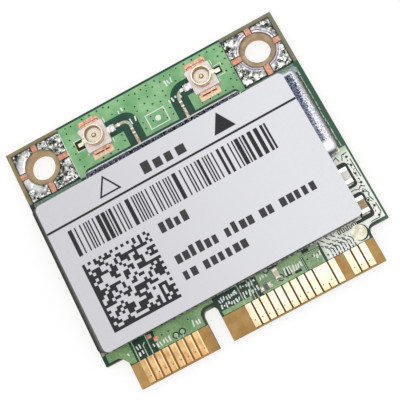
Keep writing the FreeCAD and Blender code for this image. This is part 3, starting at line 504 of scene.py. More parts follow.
# Through holes: plated holes of about a tenth of a millimetre that join the copper of the two faces.
# The mask dips into each one, so a dark point shows with a paler rim round it. Those beside the contacts
# end at an inner layer, so the lower face doesn't show them.
RIM_RADIUS = 0.17
RIM_SIDES = 12
DOT_RADIUS = 0.088
DOT_SIDES = 10
MARGIN_DOT_RADIUS = 0.125
RIM_TOP = 0.986
RIM_LOW = 0.014
DOT_TOP = 0.989
DOT_LOW = 0.01
BLIND_Y = -9.5
THROUGH_HOLES = (
    (-8.4, 12.9), (-7.8, 12.85), (-6.5, 12.95), (-5.65, 12.95), (-4.8, 12.95), (-4.05, 12.95), (-2.45, 12.85),
    (-1.2, 12.8), (-3.55, 12.7), (-1.85, 12.55), (-8.5, 12.35), (-3.55, 11.85), (-2.2, 11.75), (-8.5, 11.6),
    (-8.4, 10.8), (-8.55, 10.05), (-8.45, 9.3), (-3.6, 9.5), (-3.6, 8.85), (-6.25, 8.35), (-5.4, 8.35),
    (-4.6, 8.35), (-8.35, 8.45), (-1.2, 10.9), (-1.2, 9.55), (-1.2, 8.9), (-1.2, 11.45), (-0.6, 12.6),
    (0.1, 12.7), (0.75, 12.85), (1.7, 12.85), (2.75, 12.8), (3.35, 12.6), (4.2, 12.9), (5.05, 12.9),
    (5.95, 12.9), (6.85, 12.9), (7.65, 12.85), (8.4, 12.7), (9.05, 12.7), (0.55, 12.3), (1.25, 12.35),
    (2.15, 12.45), (-0.45, 11.95), (0.4, 11.7), (1.1, 11.45), (2.0, 11.5), (3.6, 11.75), (-0.2, 11.25),
    (0.5, 10.8), (1.3, 10.6), (-0.25, 10.45), (2.05, 10.9), (8.4, 11.9), (9.0, 12.1), (8.9, 11.35),
    (8.4, 11.0), (8.45, 10.15), (9.05, 10.2), (8.45, 9.2), (8.9, 8.8), (9.0, 9.55), (-0.25, 9.75),
    (-0.2, 9.2), (1.2, 9.7), (1.15, 8.8), (1.85, 9.6), (1.85, 8.85), (4.9, 8.45), (5.75, 8.4), (6.65, 8.4),
    (7.45, 8.4), (8.25, 8.35), (-8.9, -9.75), (-8.2, -9.7), (-6.05, -9.6), (6.5, -9.9), (7.05, -9.85),
    (7.65, -9.85), (8.4, -10.45), (14.4, -3.1), (14.4, -4.0), (14.35, -4.9), (14.4, -5.9), (14.15, -6.75),
    (14.15, -7.7), (14.4, -8.4), (14.35, -9.4),
)

dot_finish, paint, place = new_finish("hole_shade", {"Roughness": 0.6})
paint(place.grain(8.0).blend(srgb(4, 24, 15), srgb(22, 50, 35)))

rim_finish, paint, place = new_finish("hole_rim", {"IOR": 1.5, "Roughness": 0.25})
x, y, z = place.axes()
rim = place.grain(2.0).tones((118, 172, 112), (150, 198, 140))
rim = y.step(*BELOW_SHIELD).blend(rim, srgb(126, 164, 118))
# Painted highlight: rims inside the soft box's glare are painted near white.
painted_glare = (z > MID_LEVEL) * x.step(*GLARE_X) * y.step(*GLARE_Y)
paint(painted_glare.blend(rim, srgb(222, 228, 214)))


def add_lower_end(rims, dots, hole):
    """The rim and the dark point of a hole on the lower face."""
    add_disc(rims, hole, RIM_RADIUS, RIM_LOW, LOWER_FACE, RIM_SIDES)
    add_disc(dots, hole, DOT_RADIUS, DOT_LOW, LOWER_FACE, DOT_SIDES)


rims = bmesh.new()
dots = bmesh.new()
for hole in THROUGH_HOLES:
    dot_radius = MARGIN_DOT_RADIUS if hole[0] > MARGIN_EDGE_X else DOT_RADIUS
    add_disc(rims, hole, RIM_RADIUS, BOARD_TOP, RIM_TOP, RIM_SIDES)
    add_disc(dots, hole, dot_radius, BOARD_TOP, DOT_TOP, DOT_SIDES)
    if hole[1] > BLIND_Y:
        add_lower_end(rims, dots, hole)
add_piece("through_hole_rims", rims, rim_finish, "green_laminate")
add_piece("through_hole_dots", dots, dot_finish, "green_laminate")


# Underside lines: narrow copper lines under the mask from the lower contacts to plated holes below the
# shield, each with a strip etched free beside it. Contacts at earth level join the pour by a short tab.
# Squares of holes under the chips carry their heat to the lower copper, and others tie the two pours.
STRIP_LOW = 0.017
LINE_LOW = 0.012
LOWER_LINE = 0.13
STRIP_WIDTH = 0.36
STRIP_END_RADIUS = 0.32
STRIP_START_Y = LOWER_POUR_Y - 0.02
TAB_HALF = 0.2
JOG_Y = -9.3
JOG = 0.4
NEAR_END_Y = -8.3
LAST_SIGNAL_X = 11
LOWER_ROWS = ((-11.2, 8, -7.75), (-1.6, 18, -3.6))
CONTACT_PITCH = 0.8
SIGNAL_SHARE = 0.64
EARTH_SHARE = 0.88
HEAT_HOLES = (("radio_chip", 6, 1.1), ("left_front_end", 3, 0.85), ("right_front_end", 3, 0.85))
UNDERSIDE_HOLES = 118
HOLE_SPACING = 0.85
underside_seed = random.Random(3)

strips = bmesh.new()
lines = bmesh.new()
tabs = bmesh.new()
underside_holes = []
for first, count, far_y in LOWER_ROWS:
    for position in range(count):
        line_x = first + position * CONTACT_PITCH
        end = Vector((line_x + JOG, underside_seed.uniform(NEAR_END_Y, far_y)))
        share = underside_seed.random()
        bend = [(line_x, JOG_Y), (line_x + JOG, JOG_Y + JOG)]
        if share < SIGNAL_SHARE and line_x < LAST_SIGNAL_X:
            add_line(lines, [(line_x, MASK_EDGE_Y), *bend, end], LOWER_LINE, LINE_LOW, LOWER_FACE)
            add_line(strips, [(line_x, STRIP_START_Y), *bend, end], STRIP_WIDTH, STRIP_LOW, LOWER_FACE)
            add_disc(strips, end, STRIP_END_RADIUS, STRIP_LOW + HAIR, LOWER_FACE, PAD_SIDES)
            underside_holes.append(end)
        elif share < EARTH_SHARE:
            low = (line_x - TAB_HALF, MASK_EDGE_Y, LOWER_POUR)
            add_block(tabs, low, (line_x + TAB_HALF, LOWER_POUR_Y, LOWER_FACE))
for chip, count, pitch in HEAT_HOLES:
    low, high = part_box(chip)
    middle = (Vector(low) + Vector(high)).xy / 2 / MM
    corner_hole = middle - Vector((1, 1)) * (count - 1) * pitch / 2
    for step in itertools.product(range(count), repeat=2):
        underside_holes.append(corner_hole + Vector(step) * pitch)
while len(underside_holes) < UNDERSIDE_HOLES:
    spot = Vector((underside_seed.uniform(-14.0, 12.0), underside_seed.uniform(-3.0, 7.0)))
    if all((spot - other).length > HOLE_SPACING for other in underside_holes):
        underside_holes.append(spot)
rims = bmesh.new()
dots = bmesh.new()
for hole in underside_holes:
    add_lower_end(rims, dots, hole)
add_piece("underside_strips", strips, gap_and_shade_finish, "green_laminate")
add_piece("underside_lines", lines, line_finish, "green_laminate")
add_piece("underside_earth_tabs", tabs, pour_finish, "green_laminate")
add_piece("underside_hole_rims", rims, rim_finish, "green_laminate")
add_piece("underside_hole_dots", dots, dot_finish, "green_laminate")


# Marking ink: thin strokes of white epoxy ink, screened on the mask and cured. They make a frame with
# a dot in it, corner ticks at the receptacles and rows of plain ticks beside the small parts.
INK_TOP = 0.993
STROKE = 0.1
THIN_STROKE = 0.07
TICK_WIDTH = 0.16
ink_seed = random.Random(4)

ink_finish, paint, place = new_finish("marking_ink", {"Roughness": 0.55})
paint(place.grain(9.0).tones((212, 226, 212), (244, 248, 240), 0.25, 0.6))


def add_frame(shape, corners, width, low, high):
    """A flat frame of one width inside an outline."""
    flat = shape.faces.new([shape.verts.new((*corner, low)) for corner in corners])
    flat.normal_update()
    rim = bmesh.ops.inset_region(
        shape, faces=[flat], use_boundary=True, use_even_offset=True, thickness=width
    )["faces"]
    bmesh.ops.delete(shape, geom=[flat], context="FACES_ONLY")
    thicken(shape, rim, high - low)


def add_ticks(shape, low, high, count):
    """A row of upright strokes of uneven height and lean in a rectangle."""
    pitch = (high[0] - low[0]) / count
    height = high[1] - low[1]
    for stroke in range(count):
        middle = low[0] + (stroke + ink_seed.uniform(0.38, 0.62)) * pitch
        foot = low[1] + ink_seed.choice((0.0, 0.0, 0.2, 0.45)) * height
        head = high[1] - ink_seed.choice((0.0, 0.0, 0.15, 0.3)) * height
        lean = ink_seed.uniform(-0.06, 0.06)
        width = TICK_WIDTH * ink_seed.uniform(0.7, 1.15)
        add_line(shape, [(middle - lean, foot), (middle + lean, head)], width, BOARD_TOP, INK_TOP)


shape = bmesh.new()
add_frame(shape, [(-0.78, 8.46), (1.36, 8.46), (1.36, 10.08), (-0.78, 10.08)], STROKE, BOARD_TOP, INK_TOP)
add_disc(shape, (0.36, 9.26), 0.3, BOARD_TOP, INK_TOP, PAD_SIDES)
for tick_x, low_y, high_y in (
    (-4.55, 11.5, 12.05), (-4.55, 9.2, 9.7), (-7.42, 9.25, 9.45), (-7.42, 11.55, 11.95),
    (7.48, 11.4, 12.0), (4.68, 11.6, 12.0), (4.78, 9.2, 9.5), (7.48, 9.55, 9.75),
):
    add_line(shape, [(tick_x, low_y), (tick_x, high_y)], STROKE, BOARD_TOP, INK_TOP)
add_line(shape, [(-9.2, 7.75), (-9.2, 12.8)], 0.08, BOARD_TOP, INK_TOP)
for side in (-1, 1):
    for corner_y, foot_y in ((11.2, 10.95), (10.05, 10.3)):
        path = [(side * 7.45, corner_y), (side * 8.26, corner_y), (side * 8.26, foot_y)]
        add_line(shape, path, THIN_STROKE, BOARD_TOP, INK_TOP)
for low, high, count in (
    ((-3.1, 11.55), (-2.2, 12.05), 2), ((2.45, 11.68), (3.35, 12.35), 3),
    ((-2.4, 9.95), (-1.5, 10.6), 2), ((1.85, 9.95), (3.45, 10.5), 4),
    ((-12.8, -10.35), (-12.4, -9.7), 1), ((-11.72, -9.95), (-11.1, -9.5), 2),
    ((-11.72, -10.6), (-11.1, -10.15), 2), ((-10.15, -10.65), (-8.2, -10.1), 6),
    ((-5.9, -10.5), (-5.0, -9.85), 3), ((-2.75, -9.75), (-0.75, -9.25), 8),
    ((-2.75, -10.4), (-0.75, -9.9), 8), ((-0.4, -9.6), (1.3, -9.1), 6),
    ((-0.4, -10.45), (1.3, -9.8), 6), ((1.6, -9.6), (2.5, -9.2), 3),
    ((4.0, -10.35), (5.9, -9.6), 7), ((7.1, -10.25), (7.9, -9.7), 3),
):
    add_ticks(shape, low, high, count)
add_piece("marking_ink", shape, ink_finish, "green_laminate")


# Edge contacts: copper strips with gold plating on both faces of the tab, which the socket's springs
# press on. Each upper one has a small point where a test needle stood, and the plating is scuffed.
FIRST_GAP_X = -12.0
NEEDLE_Y = -12.65
NEEDLE_POINT = {"radius": 0.07, "low": 0.99, "high": 1.004, "sides": 10}
NEEDLED_ROWS = ((-11.6, 8), (-0.6, 11), (9.8, 3))

gold_finish, paint, place = new_finish("gold_plating", {"Metallic": 1.0})
x, y, z = place.axes()
long_scuffs = place.node("Mapping", {}, {"Vector": place, "Scale": (9.0, 0.6, 1.0)}).grain(1.0)
cloudy = place.grain(1.3)
gold = cloudy.tones((184, 144, 94), (216, 182, 132))
across = (x - FIRST_GAP_X).math("FLOORED_MODULO", CONTACT_PITCH)
# Painted highlight: a pale line along each contact's right edge, where its edge catches the light.
edge_highlight = across.step(0.56, 0.62) * across.step(0.7, 0.66)
gold = (edge_highlight * 0.7).blend(gold, srgb(248, 222, 176))
# Painted highlight: the upper contacts right of x -2.6 are painted paler, the soft box's glare on them.
glare_gold = cloudy.tones((204, 196, 172), (226, 210, 192), 0.35, 0.65)
gold = (x.step(-2.6, 0.2) * (z > MID_LEVEL) * 0.88).blend(gold, glare_gold)
gold = (y.step(-12.5, -13.2) * 0.3).blend(gold, srgb(205, 150, 78))
paint(
    (long_scuffs.step(0.55, 0.8) * 0.5).blend(gold, srgb(236, 214, 172)),
    Roughness=0.28 + long_scuffs * 0.15,
    Normal=long_scuffs.relief(0.004, 0.3),
)
dress(gold_finish, "upper_contacts_short", "upper_contacts_long")
dress(gold_finish, "lower_contacts_short", "lower_contacts_long")

needle_finish, paint, place = new_finish("needle_point", {"Metallic": 1.0, "Roughness": 0.5})
paint(place.grain(12.0).blend(srgb(92, 72, 40), srgb(136, 108, 64)))
needle_seed = random.Random(11)
shape = bmesh.new()
for first, count in NEEDLED_ROWS:
    for position in range(count):
        spot_x = first + position * CONTACT_PITCH + needle_seed.uniform(0.0, 0.18)
        spot = (spot_x, NEEDLE_Y + needle_seed.uniform(-0.05, 0.05))
        add_disc(shape, spot, **NEEDLE_POINT)
add_piece("needle_points", shape, needle_finish, "contact_gold")


# Screw lands: squares of bare copper round the two screw holes, on both faces, with four quarters of
# reflowed solder on each upper one. The solder froze lumpy, and the copper spokes between stay bare.
copper_finish, paint, place = new_finish("bare_copper", {"Metallic": 1.0})
fine = place.grain(4.0)
paint(fine.tones((178, 118, 94), (218, 165, 142)), Roughness=0.35 + fine * 0.2, Normal=fine.relief(0.01, 0.4))
dress(copper_finish, "upper_screw_lands", "lower_screw_lands", "empty_lands")

solder_finish, paint, place = new_finish("lumpy_solder", {"Metallic": 1.0})
lumps = place.grain(1.5, 3.0, 0.6)
specks = place.grain(3.2, 3.0, 0.6)
x = place.axes()[0]
from_hole = place.away_from(HOLE)
near_ring = from_hole.step(2.55, 2.0)
# Painted reflection: the solder is painted from dark to bright over the lumps, with black specks and white
# glints, for what the lumps reflect.
tin = lumps.tones((58, 60, 54), (192, 195, 189), 0.38, 0.64)
tin = specks.step(0.38, 0.47).blend(srgb(30, 32, 27), tin)
tin = specks.step(0.55, 0.6).blend(tin, srgb(240, 242, 240))
# The ridges round the right hole are real. Their light and dark arcs are painted highlight and shade.
ripple = (from_hole * 24 + lumps * 5).math("SINE")
ridges = ripple.tones((206, 202, 208), (84, 80, 86), 0.2, 0.9)
tin = (near_ring * (x > 0)).blend(tin, ridges)
# Painted highlight: a bright crescent on the left land's outer side.
smooth = (x + lumps * 2).step(-11.6, -12.4) * from_hole.step(2.9, 2.2) * 0.85
paint(
    smooth.blend(tin, srgb(224, 224, 226)),
    Roughness=0.18 + specks * 0.2,
    Normal=(lumps + specks * 0.5).relief(0.05, 0.6),
)

LAND_TOP = 1.0
SOLDER_RISE = 0.12
SPOKE_HALF = 0.275
OUTER_REACH = 2.45
INNER_REACH = 2.85
ROUND_STEPS = 20
OUTWARD_STEPS = 8
FLANK = 0.16
END_FLANK = 0.08
LUMPS_PER_MM = 2.6
shape = bmesh.new()
spoke_angle = math.asin(SPOKE_HALF / LAND_RING_RADIUS)
for side, out, far in itertools.product((-1, 1), repeat=3):
    width = OUTER_REACH if out > 0 else INNER_REACH
    length = OUTER_REACH if far > 0 else INNER_REACH
    sheet = bmesh.ops.create_grid(shape, x_segments=ROUND_STEPS, y_segments=OUTWARD_STEPS, size=0.5)
    for point in sheet["verts"]:
        turn = point.co.x + 0.5
        outwards = point.co.y + 0.5
        angle = spoke_angle + turn * (math.pi / 2 - 2 * spoke_angle)
        inner = Vector((math.cos(angle), math.sin(angle))) * LAND_RING_RADIUS
        along = min(1.0, 2 * turn)
        back = max(0.0, 2 * turn - 1.0)
        outer_x = width + (SPOKE_HALF - width) * back
        outer_y = SPOKE_HALF + (length - SPOKE_HALF) * along
        spot = inner.lerp(Vector((outer_x, outer_y)), outwards)
        flank = min(outwards, 1 - outwards, FLANK) / FLANK
        flank *= min(turn, 1 - turn, END_FLANK) / END_FLANK
        shift = Vector((side * 9, out * 5 + far * 3))
        lump = noise.noise((spot * LUMPS_PER_MM + shift).to_3d())
        rise = SOLDER_RISE * (0.25 + 0.75 * flank * (0.62 + 0.38 * max(-1.0, min(1.0, 1.8 * lump))))
        point.co = (side * (HOLE.x + out * spot.x), HOLE.y + far * spot.y, LAND_TOP + rise)
edges = [edge for edge in shape.edges if edge.is_boundary]
for point in bmesh.ops.extrude_edge_only(shape, edges=edges)["geom"]:
    if isinstance(point, bmesh.types.BMVert):
        point.co.z = LAND_TOP
bmesh.ops.holes_fill(shape, edges=[edge for edge in shape.edges if edge.is_boundary], sides=0)
for face in shape.faces:
    face.smooth = True
add_piece("screw_land_solder_lumps", shape, solder_finish, "solder", "screw_land_solder")

slit_finish, paint, place = new_finish("land_slit", {"Roughness": 0.6})
paint(place.grain(3.0).tones((18, 18, 12), (96, 86, 62), 0.35, 0.65))
SLIT_TOP = 1.07
SLIT_WIDTH = 0.07
FAR_SLIT_WIDTH = 0.098
SPOKE_SLIT_WIDTH = 0.05
SPOKE_SIDE = 0.32
shape = bmesh.new()
for side in (-1, 1):
    slits = []
    for gap in (-SPOKE_SIDE, SPOKE_SIDE):
        reach = OUTER_REACH if gap > 0 else -INNER_REACH
        slits.append(((OUTER_REACH, gap), (OUTER_REACH, reach), SLIT_WIDTH))
        slits.append(((gap, OUTER_REACH), (reach, OUTER_REACH), FAR_SLIT_WIDTH))
        for along in (OUTER_REACH, -INNER_REACH):
            start = math.copysign(LAND_RING_RADIUS, along)
            slits.append(((gap, start), (gap, along), SPOKE_SLIT_WIDTH))
            slits.append(((start, gap), (along, gap), SPOKE_SLIT_WIDTH))
    for *ends, width in slits:
        path = [(side * (HOLE.x + out), HOLE.y + far) for out, far in ends]
        add_line(shape, path, width, LAND_TOP, SLIT_TOP)
add_piece("screw_land_slits", shape, slit_finish, "solder")


# Shield: one can drawn from tinned steel sheet, soldered by its rim to a track round the radio.
# The flat tin is painted dark and mottled with glints, a painted reflection. Its bends and crown edge carry
# painted highlights, its right strip painted glare and its walls painted shade.
track_finish, paint, place = new_finish("tinned_track", {"Metallic": 1.0})
fine = place.grain(5.0)
track = fine.tones((104, 98, 84), (204, 201, 190), 0.35, 0.65)
shaded_track = fine.tones((72, 72, 66), (164, 163, 156), 0.35, 0.65)
x, y = place.axes()[:2]
# Painted shade: the track beside the contacts, under the label's lower edge, is painted darker.
beside_contacts = y.step(-8.0, -8.4) * x.step(8.0, 6.0) * y.step(-9.2, -9.1)
paint(beside_contacts.blend(track, shaded_track), Roughness=0.3 + fine * 0.2, Normal=fine.relief(0.02, 0.4))
dress(track_finish, "shield_track", "outer_chip_lands", "inner_chip_lands")

shield_finish, paint, place = new_finish("mottled_tin", {})
x, y = place.axes()[:2]
out_x, _, out_z = place.facing().axes()
lumps = place.grain(3.0, 5.0, 0.7)
specks = place.grain(9.0, 2.0)
# Painted reflection: the flat tin is painted dark where it reflects the dark room, with painted glints.
dark_reflection_tin = lumps.tones((14, 15, 18), (84, 86, 96), 0.44, 0.6)
dark_reflection_tin = specks.step(0.6, 0.7).blend(dark_reflection_tin, srgb(206, 209, 216))
# Painted highlight and shade: bright tin for the bends, darker tin for the walls and darkest for the left
# wall.
bend_highlight_tin = lumps.tones((160, 164, 174), (236, 239, 243), 0.35, 0.65)
shaded_wall_tin = lumps.tones((84, 86, 92), (152, 155, 162), 0.35, 0.65)
shaded_left_wall_tin = place.grain(0.8).tones((46, 46, 42), (82, 82, 76))
# Painted reflection and glare: the right strip runs from a dark blue reflection by the label to white glare
# at its edge. It is lighter towards the cut, and near white by the cut and at the shoulder.
blue_reflection_tin = specks.tones((20, 24, 40), (124, 130, 154), 0.4, 0.62)
glare_tin = specks.tones((152, 156, 172), (234, 236, 240), 0.35, 0.65)
right_strip = x.step(12.0, 12.6)
towards_cut = y.step(5.0, 0.5)
right_half = (x + specks * 0.9 + towards_cut * 0.25 + 0.05).step(13.85, 14.2)
blue_reflection_tin = (towards_cut * 0.15).blend(blue_reflection_tin, srgb(150, 158, 172))
roof = right_strip.blend(dark_reflection_tin, right_half.blend(blue_reflection_tin, glare_tin))
by_cut = right_strip * y.step(-0.9, -1.4)
at_shoulder = right_strip * y.step(6.2, 6.4)
roof = by_cut.math("MAXIMUM", at_shoulder).blend(roof, srgb(216, 216, 218))
# Painted highlight: a bright speckled, less metallic line along the crown's bend.
crown_highlight = y.step(7.2, 7.28) * specks.step(0.28, 0.42)
roof = crown_highlight.blend(roof, srgb(238, 240, 243))
# Painted highlight: the bends are painted bright tin.
bend = out_z.step(0.9, 0.6) * y.step(-8.0, -7.0)
roof = bend.blend(roof, bend_highlight_tin)
# Painted shade: the roof darkens towards the left edge, and the left wall is painted darker still.
roof = x.step(-13.9, -14.1).blend(roof, x.tones((104, 104, 100), (46, 46, 42), -14.25, -14.6))
left_wall = out_x.step(-0.1, -0.5) * x.step(-13.6, -14.2)
shaded_walls = left_wall.blend(shaded_wall_tin, shaded_left_wall_tin)
upright = out_z.step(0.35, 0.1).math("MAXIMUM", left_wall)
paint(
    upright.blend(roof, shaded_walls),
    Metallic=1 - crown_highlight * 0.8,
    Roughness=0.38 + specks * 0.2,
    Normal=(lumps + specks * 0.5).relief(0.015, 0.4),
)
dress(shield_finish, "shield_can")


# Label: a sheet of smooth white paper with rounded corners, stuck to the shield a little askew.
# The print is dark toner: a rule, two plain triangles, a row of bars of uneven widths, a square of
# modules and short rows of grey blocks.
LABEL_MIDDLE = Vector((-0.68, -1.07))
LABEL_TURN = math.radians(0.5)
LABEL_TOP = 2.7
PRINT_RISE = 0.006

paper_finish, paint, place = new_finish("label_paper", {"IOR": 1.45})
fibres = place.grain(5.0, 4.0, 0.6)
# Painted light: the paper is painted lighter from left to right, towards the soft box.
across = place.axes()[0].step(-14.0, 13.0)
paper = across.blend(srgb(210, 210, 215), srgb(231, 232, 237))
paint(
    (fibres.step(0.3, 0.7) * 0.3).blend(paper, srgb(224, 223, 226)),
    Roughness=0.55 + fibres * 0.12,
    Normal=fibres.relief(0.006, 0.25),
)
dress(paper_finish, "label")

toner_finish, paint, place = new_finish("dark_toner", {"Roughness": 0.6, "IOR": 1.4})
paint(place.grain(7.0).tones((20, 20, 23), (44, 44, 48), 0.3, 0.75))

faint_finish, paint, place = new_finish("grey_toner", {"Roughness": 0.6, "IOR": 1.4})
paint(place.grain(7.0).tones((44, 44, 47), (66, 66, 70), 0.3, 0.75))


def add_print(name, shape, finish):
    """Lay print that is drawn about the label's middle on the label."""
    lie = Matrix.Translation((*LABEL_MIDDLE, LABEL_TOP)) @ Matrix.Rotation(LABEL_TURN, 4, "Z")
    bmesh.ops.transform(shape, matrix=lie, verts=shape.verts)
    add_piece(name, shape, finish, "label_paper")


shape = bmesh.new()
add_block(shape, (-13.53, 4.74, 0), (13.53, 4.96, PRINT_RISE))
add_frame(shape, [(-7.41, 5.44), (-5.02, 5.44), (-6.25, 7.42)], 0.17, 0, PRINT_RISE)
add_plate(shape, [(5.11, 5.42), (7.41, 5.42), (6.25, 7.42)], 0, PRINT_RISE)
add_print("label_rule_and_triangles", shape, toner_finish)

BARS_LEFT = -11.65
BARS_RIGHT = 9.8
BARS_LOW = 1.42
BARS_HIGH = 4.18
THIN_BAR = 0.138
bar_seed = random.Random(5)
shape = bmesh.new()
bar_x = BARS_LEFT
while bar_x < BARS_RIGHT:
    end = min(bar_x + bar_seed.choice((1, 1, 1, 2, 3)) * THIN_BAR, BARS_RIGHT)
    add_block(shape, (bar_x, BARS_LOW, 0), (end, BARS_HIGH, PRINT_RISE))
    bar_x = end + bar_seed.choice((1, 1, 2, 2, 3)) * THIN_BAR
add_print("label_bars", shape, toner_finish)

MODULES = 24
MODULE = 0.297
DARK_SHARE = 0.48
CODE_LOW = Vector((-11.87, -6.54))
module_seed = random.Random(12)
dark_modules = set()
for row, column in itertools.product(range(MODULES), repeat=2):
    solid_sides = column == 0 or row == 0
    dotted_sides = (row == MODULES - 1 and column % 2 == 0) or (column == MODULES - 1 and row % 2 == 0)
    inside = 0 < column < MODULES - 1 and 0 < row < MODULES - 1
    if solid_sides or dotted_sides or (inside and module_seed.random() < DARK_SHARE):
        dark_modules.add((column, row))
shape = bmesh.new()
code_half = MODULES * MODULE / 2
code_middle = Matrix.Translation((CODE_LOW.x + code_half, CODE_LOW.y + code_half, 0))
bmesh.ops.create_grid(shape, x_segments=MODULES, y_segments=MODULES, size=code_half, matrix=code_middle)
pale = []
for module in shape.faces:
    spot = (module.calc_center_median().xy - CODE_LOW) / MODULE
    if (int(spot.x), int(spot.y)) not in dark_modules:
        pale.append(module)
bmesh.ops.delete(shape, geom=pale, context="FACES")
thicken(shape, shape.faces[:], PRINT_RISE)
add_print("label_modules", shape, toner_finish)

GROUP_GAP = 0.7
block_seed = random.Random(9)
shape = bmesh.new()
for low, high, groups in (
    ((-2.52, 5.43), (2.38, 6.62), (4,)),
    ((-3.65, -0.45), (-0.51, 0.6), (4,)),
    ((-3.68, -3.75), (11.3, -2.65), (6, 4, 2, 5)),
    ((-3.69, -5.42), (3.17, -4.34), (2, 6)),
):
    pitch = (high[0] - low[0]) / (sum(groups) + GROUP_GAP * (len(groups) - 1))
    start = low[0]
    for blocks in groups:
        for _ in range(blocks):
            width = pitch * block_seed.choice((0.6, 0.7, 0.78))
            rise = (high[1] - low[1]) * block_seed.choice((0.78, 0.78, 1.0))
            add_block(shape, (start, low[1], 0), (start + width, low[1] + rise, PRINT_RISE))
            start += pitch
        start += GROUP_GAP * pitch
add_print("label_word_bars", shape, faint_finish)


# Antenna receptacles: each is a square moulded base of pale plastic with a bright ring, whose two side
# feet are soldered to copper lands, and a gold pin whose tail goes to the feed line.
COAX = Vector((6.0, 10.6))
TAIL_REACH = 1.75
TAIL_SOLDER = (0.4, 0.44, 0.13)
SEAM_HALF = 0.05
SEAM_LOW = 0.97
SEAM_TOP = 1.16
INSULATOR_LOW = 1.36
INSULATOR_STEPS = ((0.86, 1.66, 40), (0.7, 1.79, 40), (0.33, 1.84, 24))

base_finish, paint, place = new_finish("pale_moulding", {"IOR": 1.5, "Roughness": 0.4})
fine = place.grain(3.0)
paint(fine.tones((238, 222, 222), (250, 242, 240)), Normal=fine.relief(0.005, 0.2))
dress(base_finish, "left_receptacle_base", "right_receptacle_base")

ring_finish, paint, place = new_finish("pale_gold", {"Metallic": 1.0})
lie = abs(place.facing().axes()[2]).step(0.3, 0.8)
fine = place.grain(4.0)
# Painted shade: the ring's walls are painted darker than its tops.
shaded_walls = fine.tones((190, 160, 124), (226, 206, 178))
rims = fine.tones((226, 212, 182), (248, 240, 222))
feet = fine.tones((200, 138, 108), (238, 196, 172))
plated = lie.blend(shaded_walls, rims)
x, y, z = place.axes()
low_down = z.step(1.4, 1.3) * abs(y - COAX.y).step(1.1, 1.2)
tail_middle = abs(y - COAX.y).step(0.24, 0.16)
tab = x.tones((240, 228, 202), (244, 240, 236), 7.4, 7.6)
tail = tail_middle.blend(srgb(70, 56, 32), tab)
plated = abs(x).step(7.3, 7.4).blend(plated, tail)
paint(low_down.blend(plated, feet), Roughness=0.22 + fine * 0.15, Normal=fine.relief(0.005, 0.25))
dress(ring_finish, "left_receptacle_ring", "right_receptacle_ring")

pin_finish, paint, place = new_finish("pin_gold", {"Metallic": 1.0})
fine = place.grain(6.0)
gold = fine.blend(srgb(226, 178, 124), srgb(252, 220, 174))
# Painted highlight and shade: only the pin's top centre keeps bright gold, and round it the pin is painted
# dark brown.
gold = (place.away_from(COAX).step(0.12, 0.22) * 0.8).blend(gold, srgb(128, 88, 50))
tinned = abs(place.axes()[0]).step(5.1, 4.9)
paint(tinned.blend(gold, srgb(236, 230, 226)), Roughness=0.25 + fine * 0.2)
dress(pin_finish, "left_receptacle_pin", "right_receptacle_pin")

pink_finish, paint, place = new_finish("tinned_copper", {"Metallic": 1.0})
fine = place.grain(4.5)
x, y = place.axes()[:2]
copper = fine.tones((190, 134, 108), (228, 188, 164), 0.35, 0.65)
copper = (y.step(10.8, 10.4) * 0.5).blend(copper, srgb(224, 204, 180))
copper = abs(x).step(4.8, 4.6).blend(copper, srgb(232, 224, 218))
rear = abs(x).step(7.2, 7.4)
rear_tab = abs(y - COAX.y).step(0.2, 0.14) * abs(x).step(7.86, 7.8)
rear_land = rear_tab.blend(srgb(50, 42, 24), srgb(238, 228, 208))
paint(rear.blend(copper, rear_land), Roughness=0.3 + fine * 0.2, Normal=fine.relief(0.01, 0.4))
dress(pink_finish, "receptacle_lands")

white_tin, paint, place = new_finish("bright_tin", {"Metallic": 1.0})
fine = place.grain(6.0)
paint(
    fine.tones((190, 194, 190), (236, 238, 235)),
    Roughness=0.25 + fine * 0.2,
    Normal=fine.relief(0.01, 0.3),
)

shape = bmesh.new()
for side in (-1, 1):
    tail = Matrix.Translation((side * (COAX.x - TAIL_REACH), COAX.y, LAND_TOP))
    tail @= Matrix.Diagonal((*TAIL_SOLDER, 1))
    bmesh.ops.create_uvsphere(shape, u_segments=16, v_segments=8, radius=1, matrix=tail)
for face in shape.faces:
    face.smooth = True
add_piece("receptacle_tail_solder", shape, white_tin, "solder")

seam_finish, paint, place = new_finish("land_seam", {"Roughness": 0.5})
paint(place.grain(8.0).blend(srgb(40, 22, 14), srgb(92, 56, 40)))
shape = bmesh.new()
for side in (-1, 1):
    for seam_y, low_x, high_x in ((12.22, -0.95, 0.95), (9.0, -0.75, 0.15), (9.0, 0.3, 0.75)):
        low = (side * COAX.x + low_x, seam_y - SEAM_HALF, SEAM_LOW)
        add_block(shape, low, (side * COAX.x + high_x, seam_y + SEAM_HALF, SEAM_TOP))
add_piece("receptacle_land_seams", shape, seam_finish, "bare_copper")

floor_moulding, paint, place = new_finish("cream_moulding", {"IOR": 1.5, "Roughness": 0.4})
cream = place.grain(3.0).tones((250, 240, 222), (254, 248, 238))
# Painted shade: a brown ring in the trench round the insulator, where the ring's inner wall shades it.
paint((place.away_from(COAX).step(0.74, 0.8) * 0.55).blend(cream, srgb(160, 128, 90)))
shape = bmesh.new()
for side in (-1, 1):
    for radius, top, sides in INSULATOR_STEPS:
        add_disc(shape, (side * COAX.x, COAX.y), radius, INSULATOR_LOW, top, sides)
add_piece("receptacle_insulators", shape, floor_moulding, "moulded_base")


# Feed lines: a bent copper line from each receptacle to a tiny capacitor and on under the shield.
# The bend is under mask with one open test point, and the last leg is bare.
OPEN_LEG_Y = 9.0
TEST_POINT = {"radius": 0.19, "low": 0.98, "high": 1.012, "sides": 18}

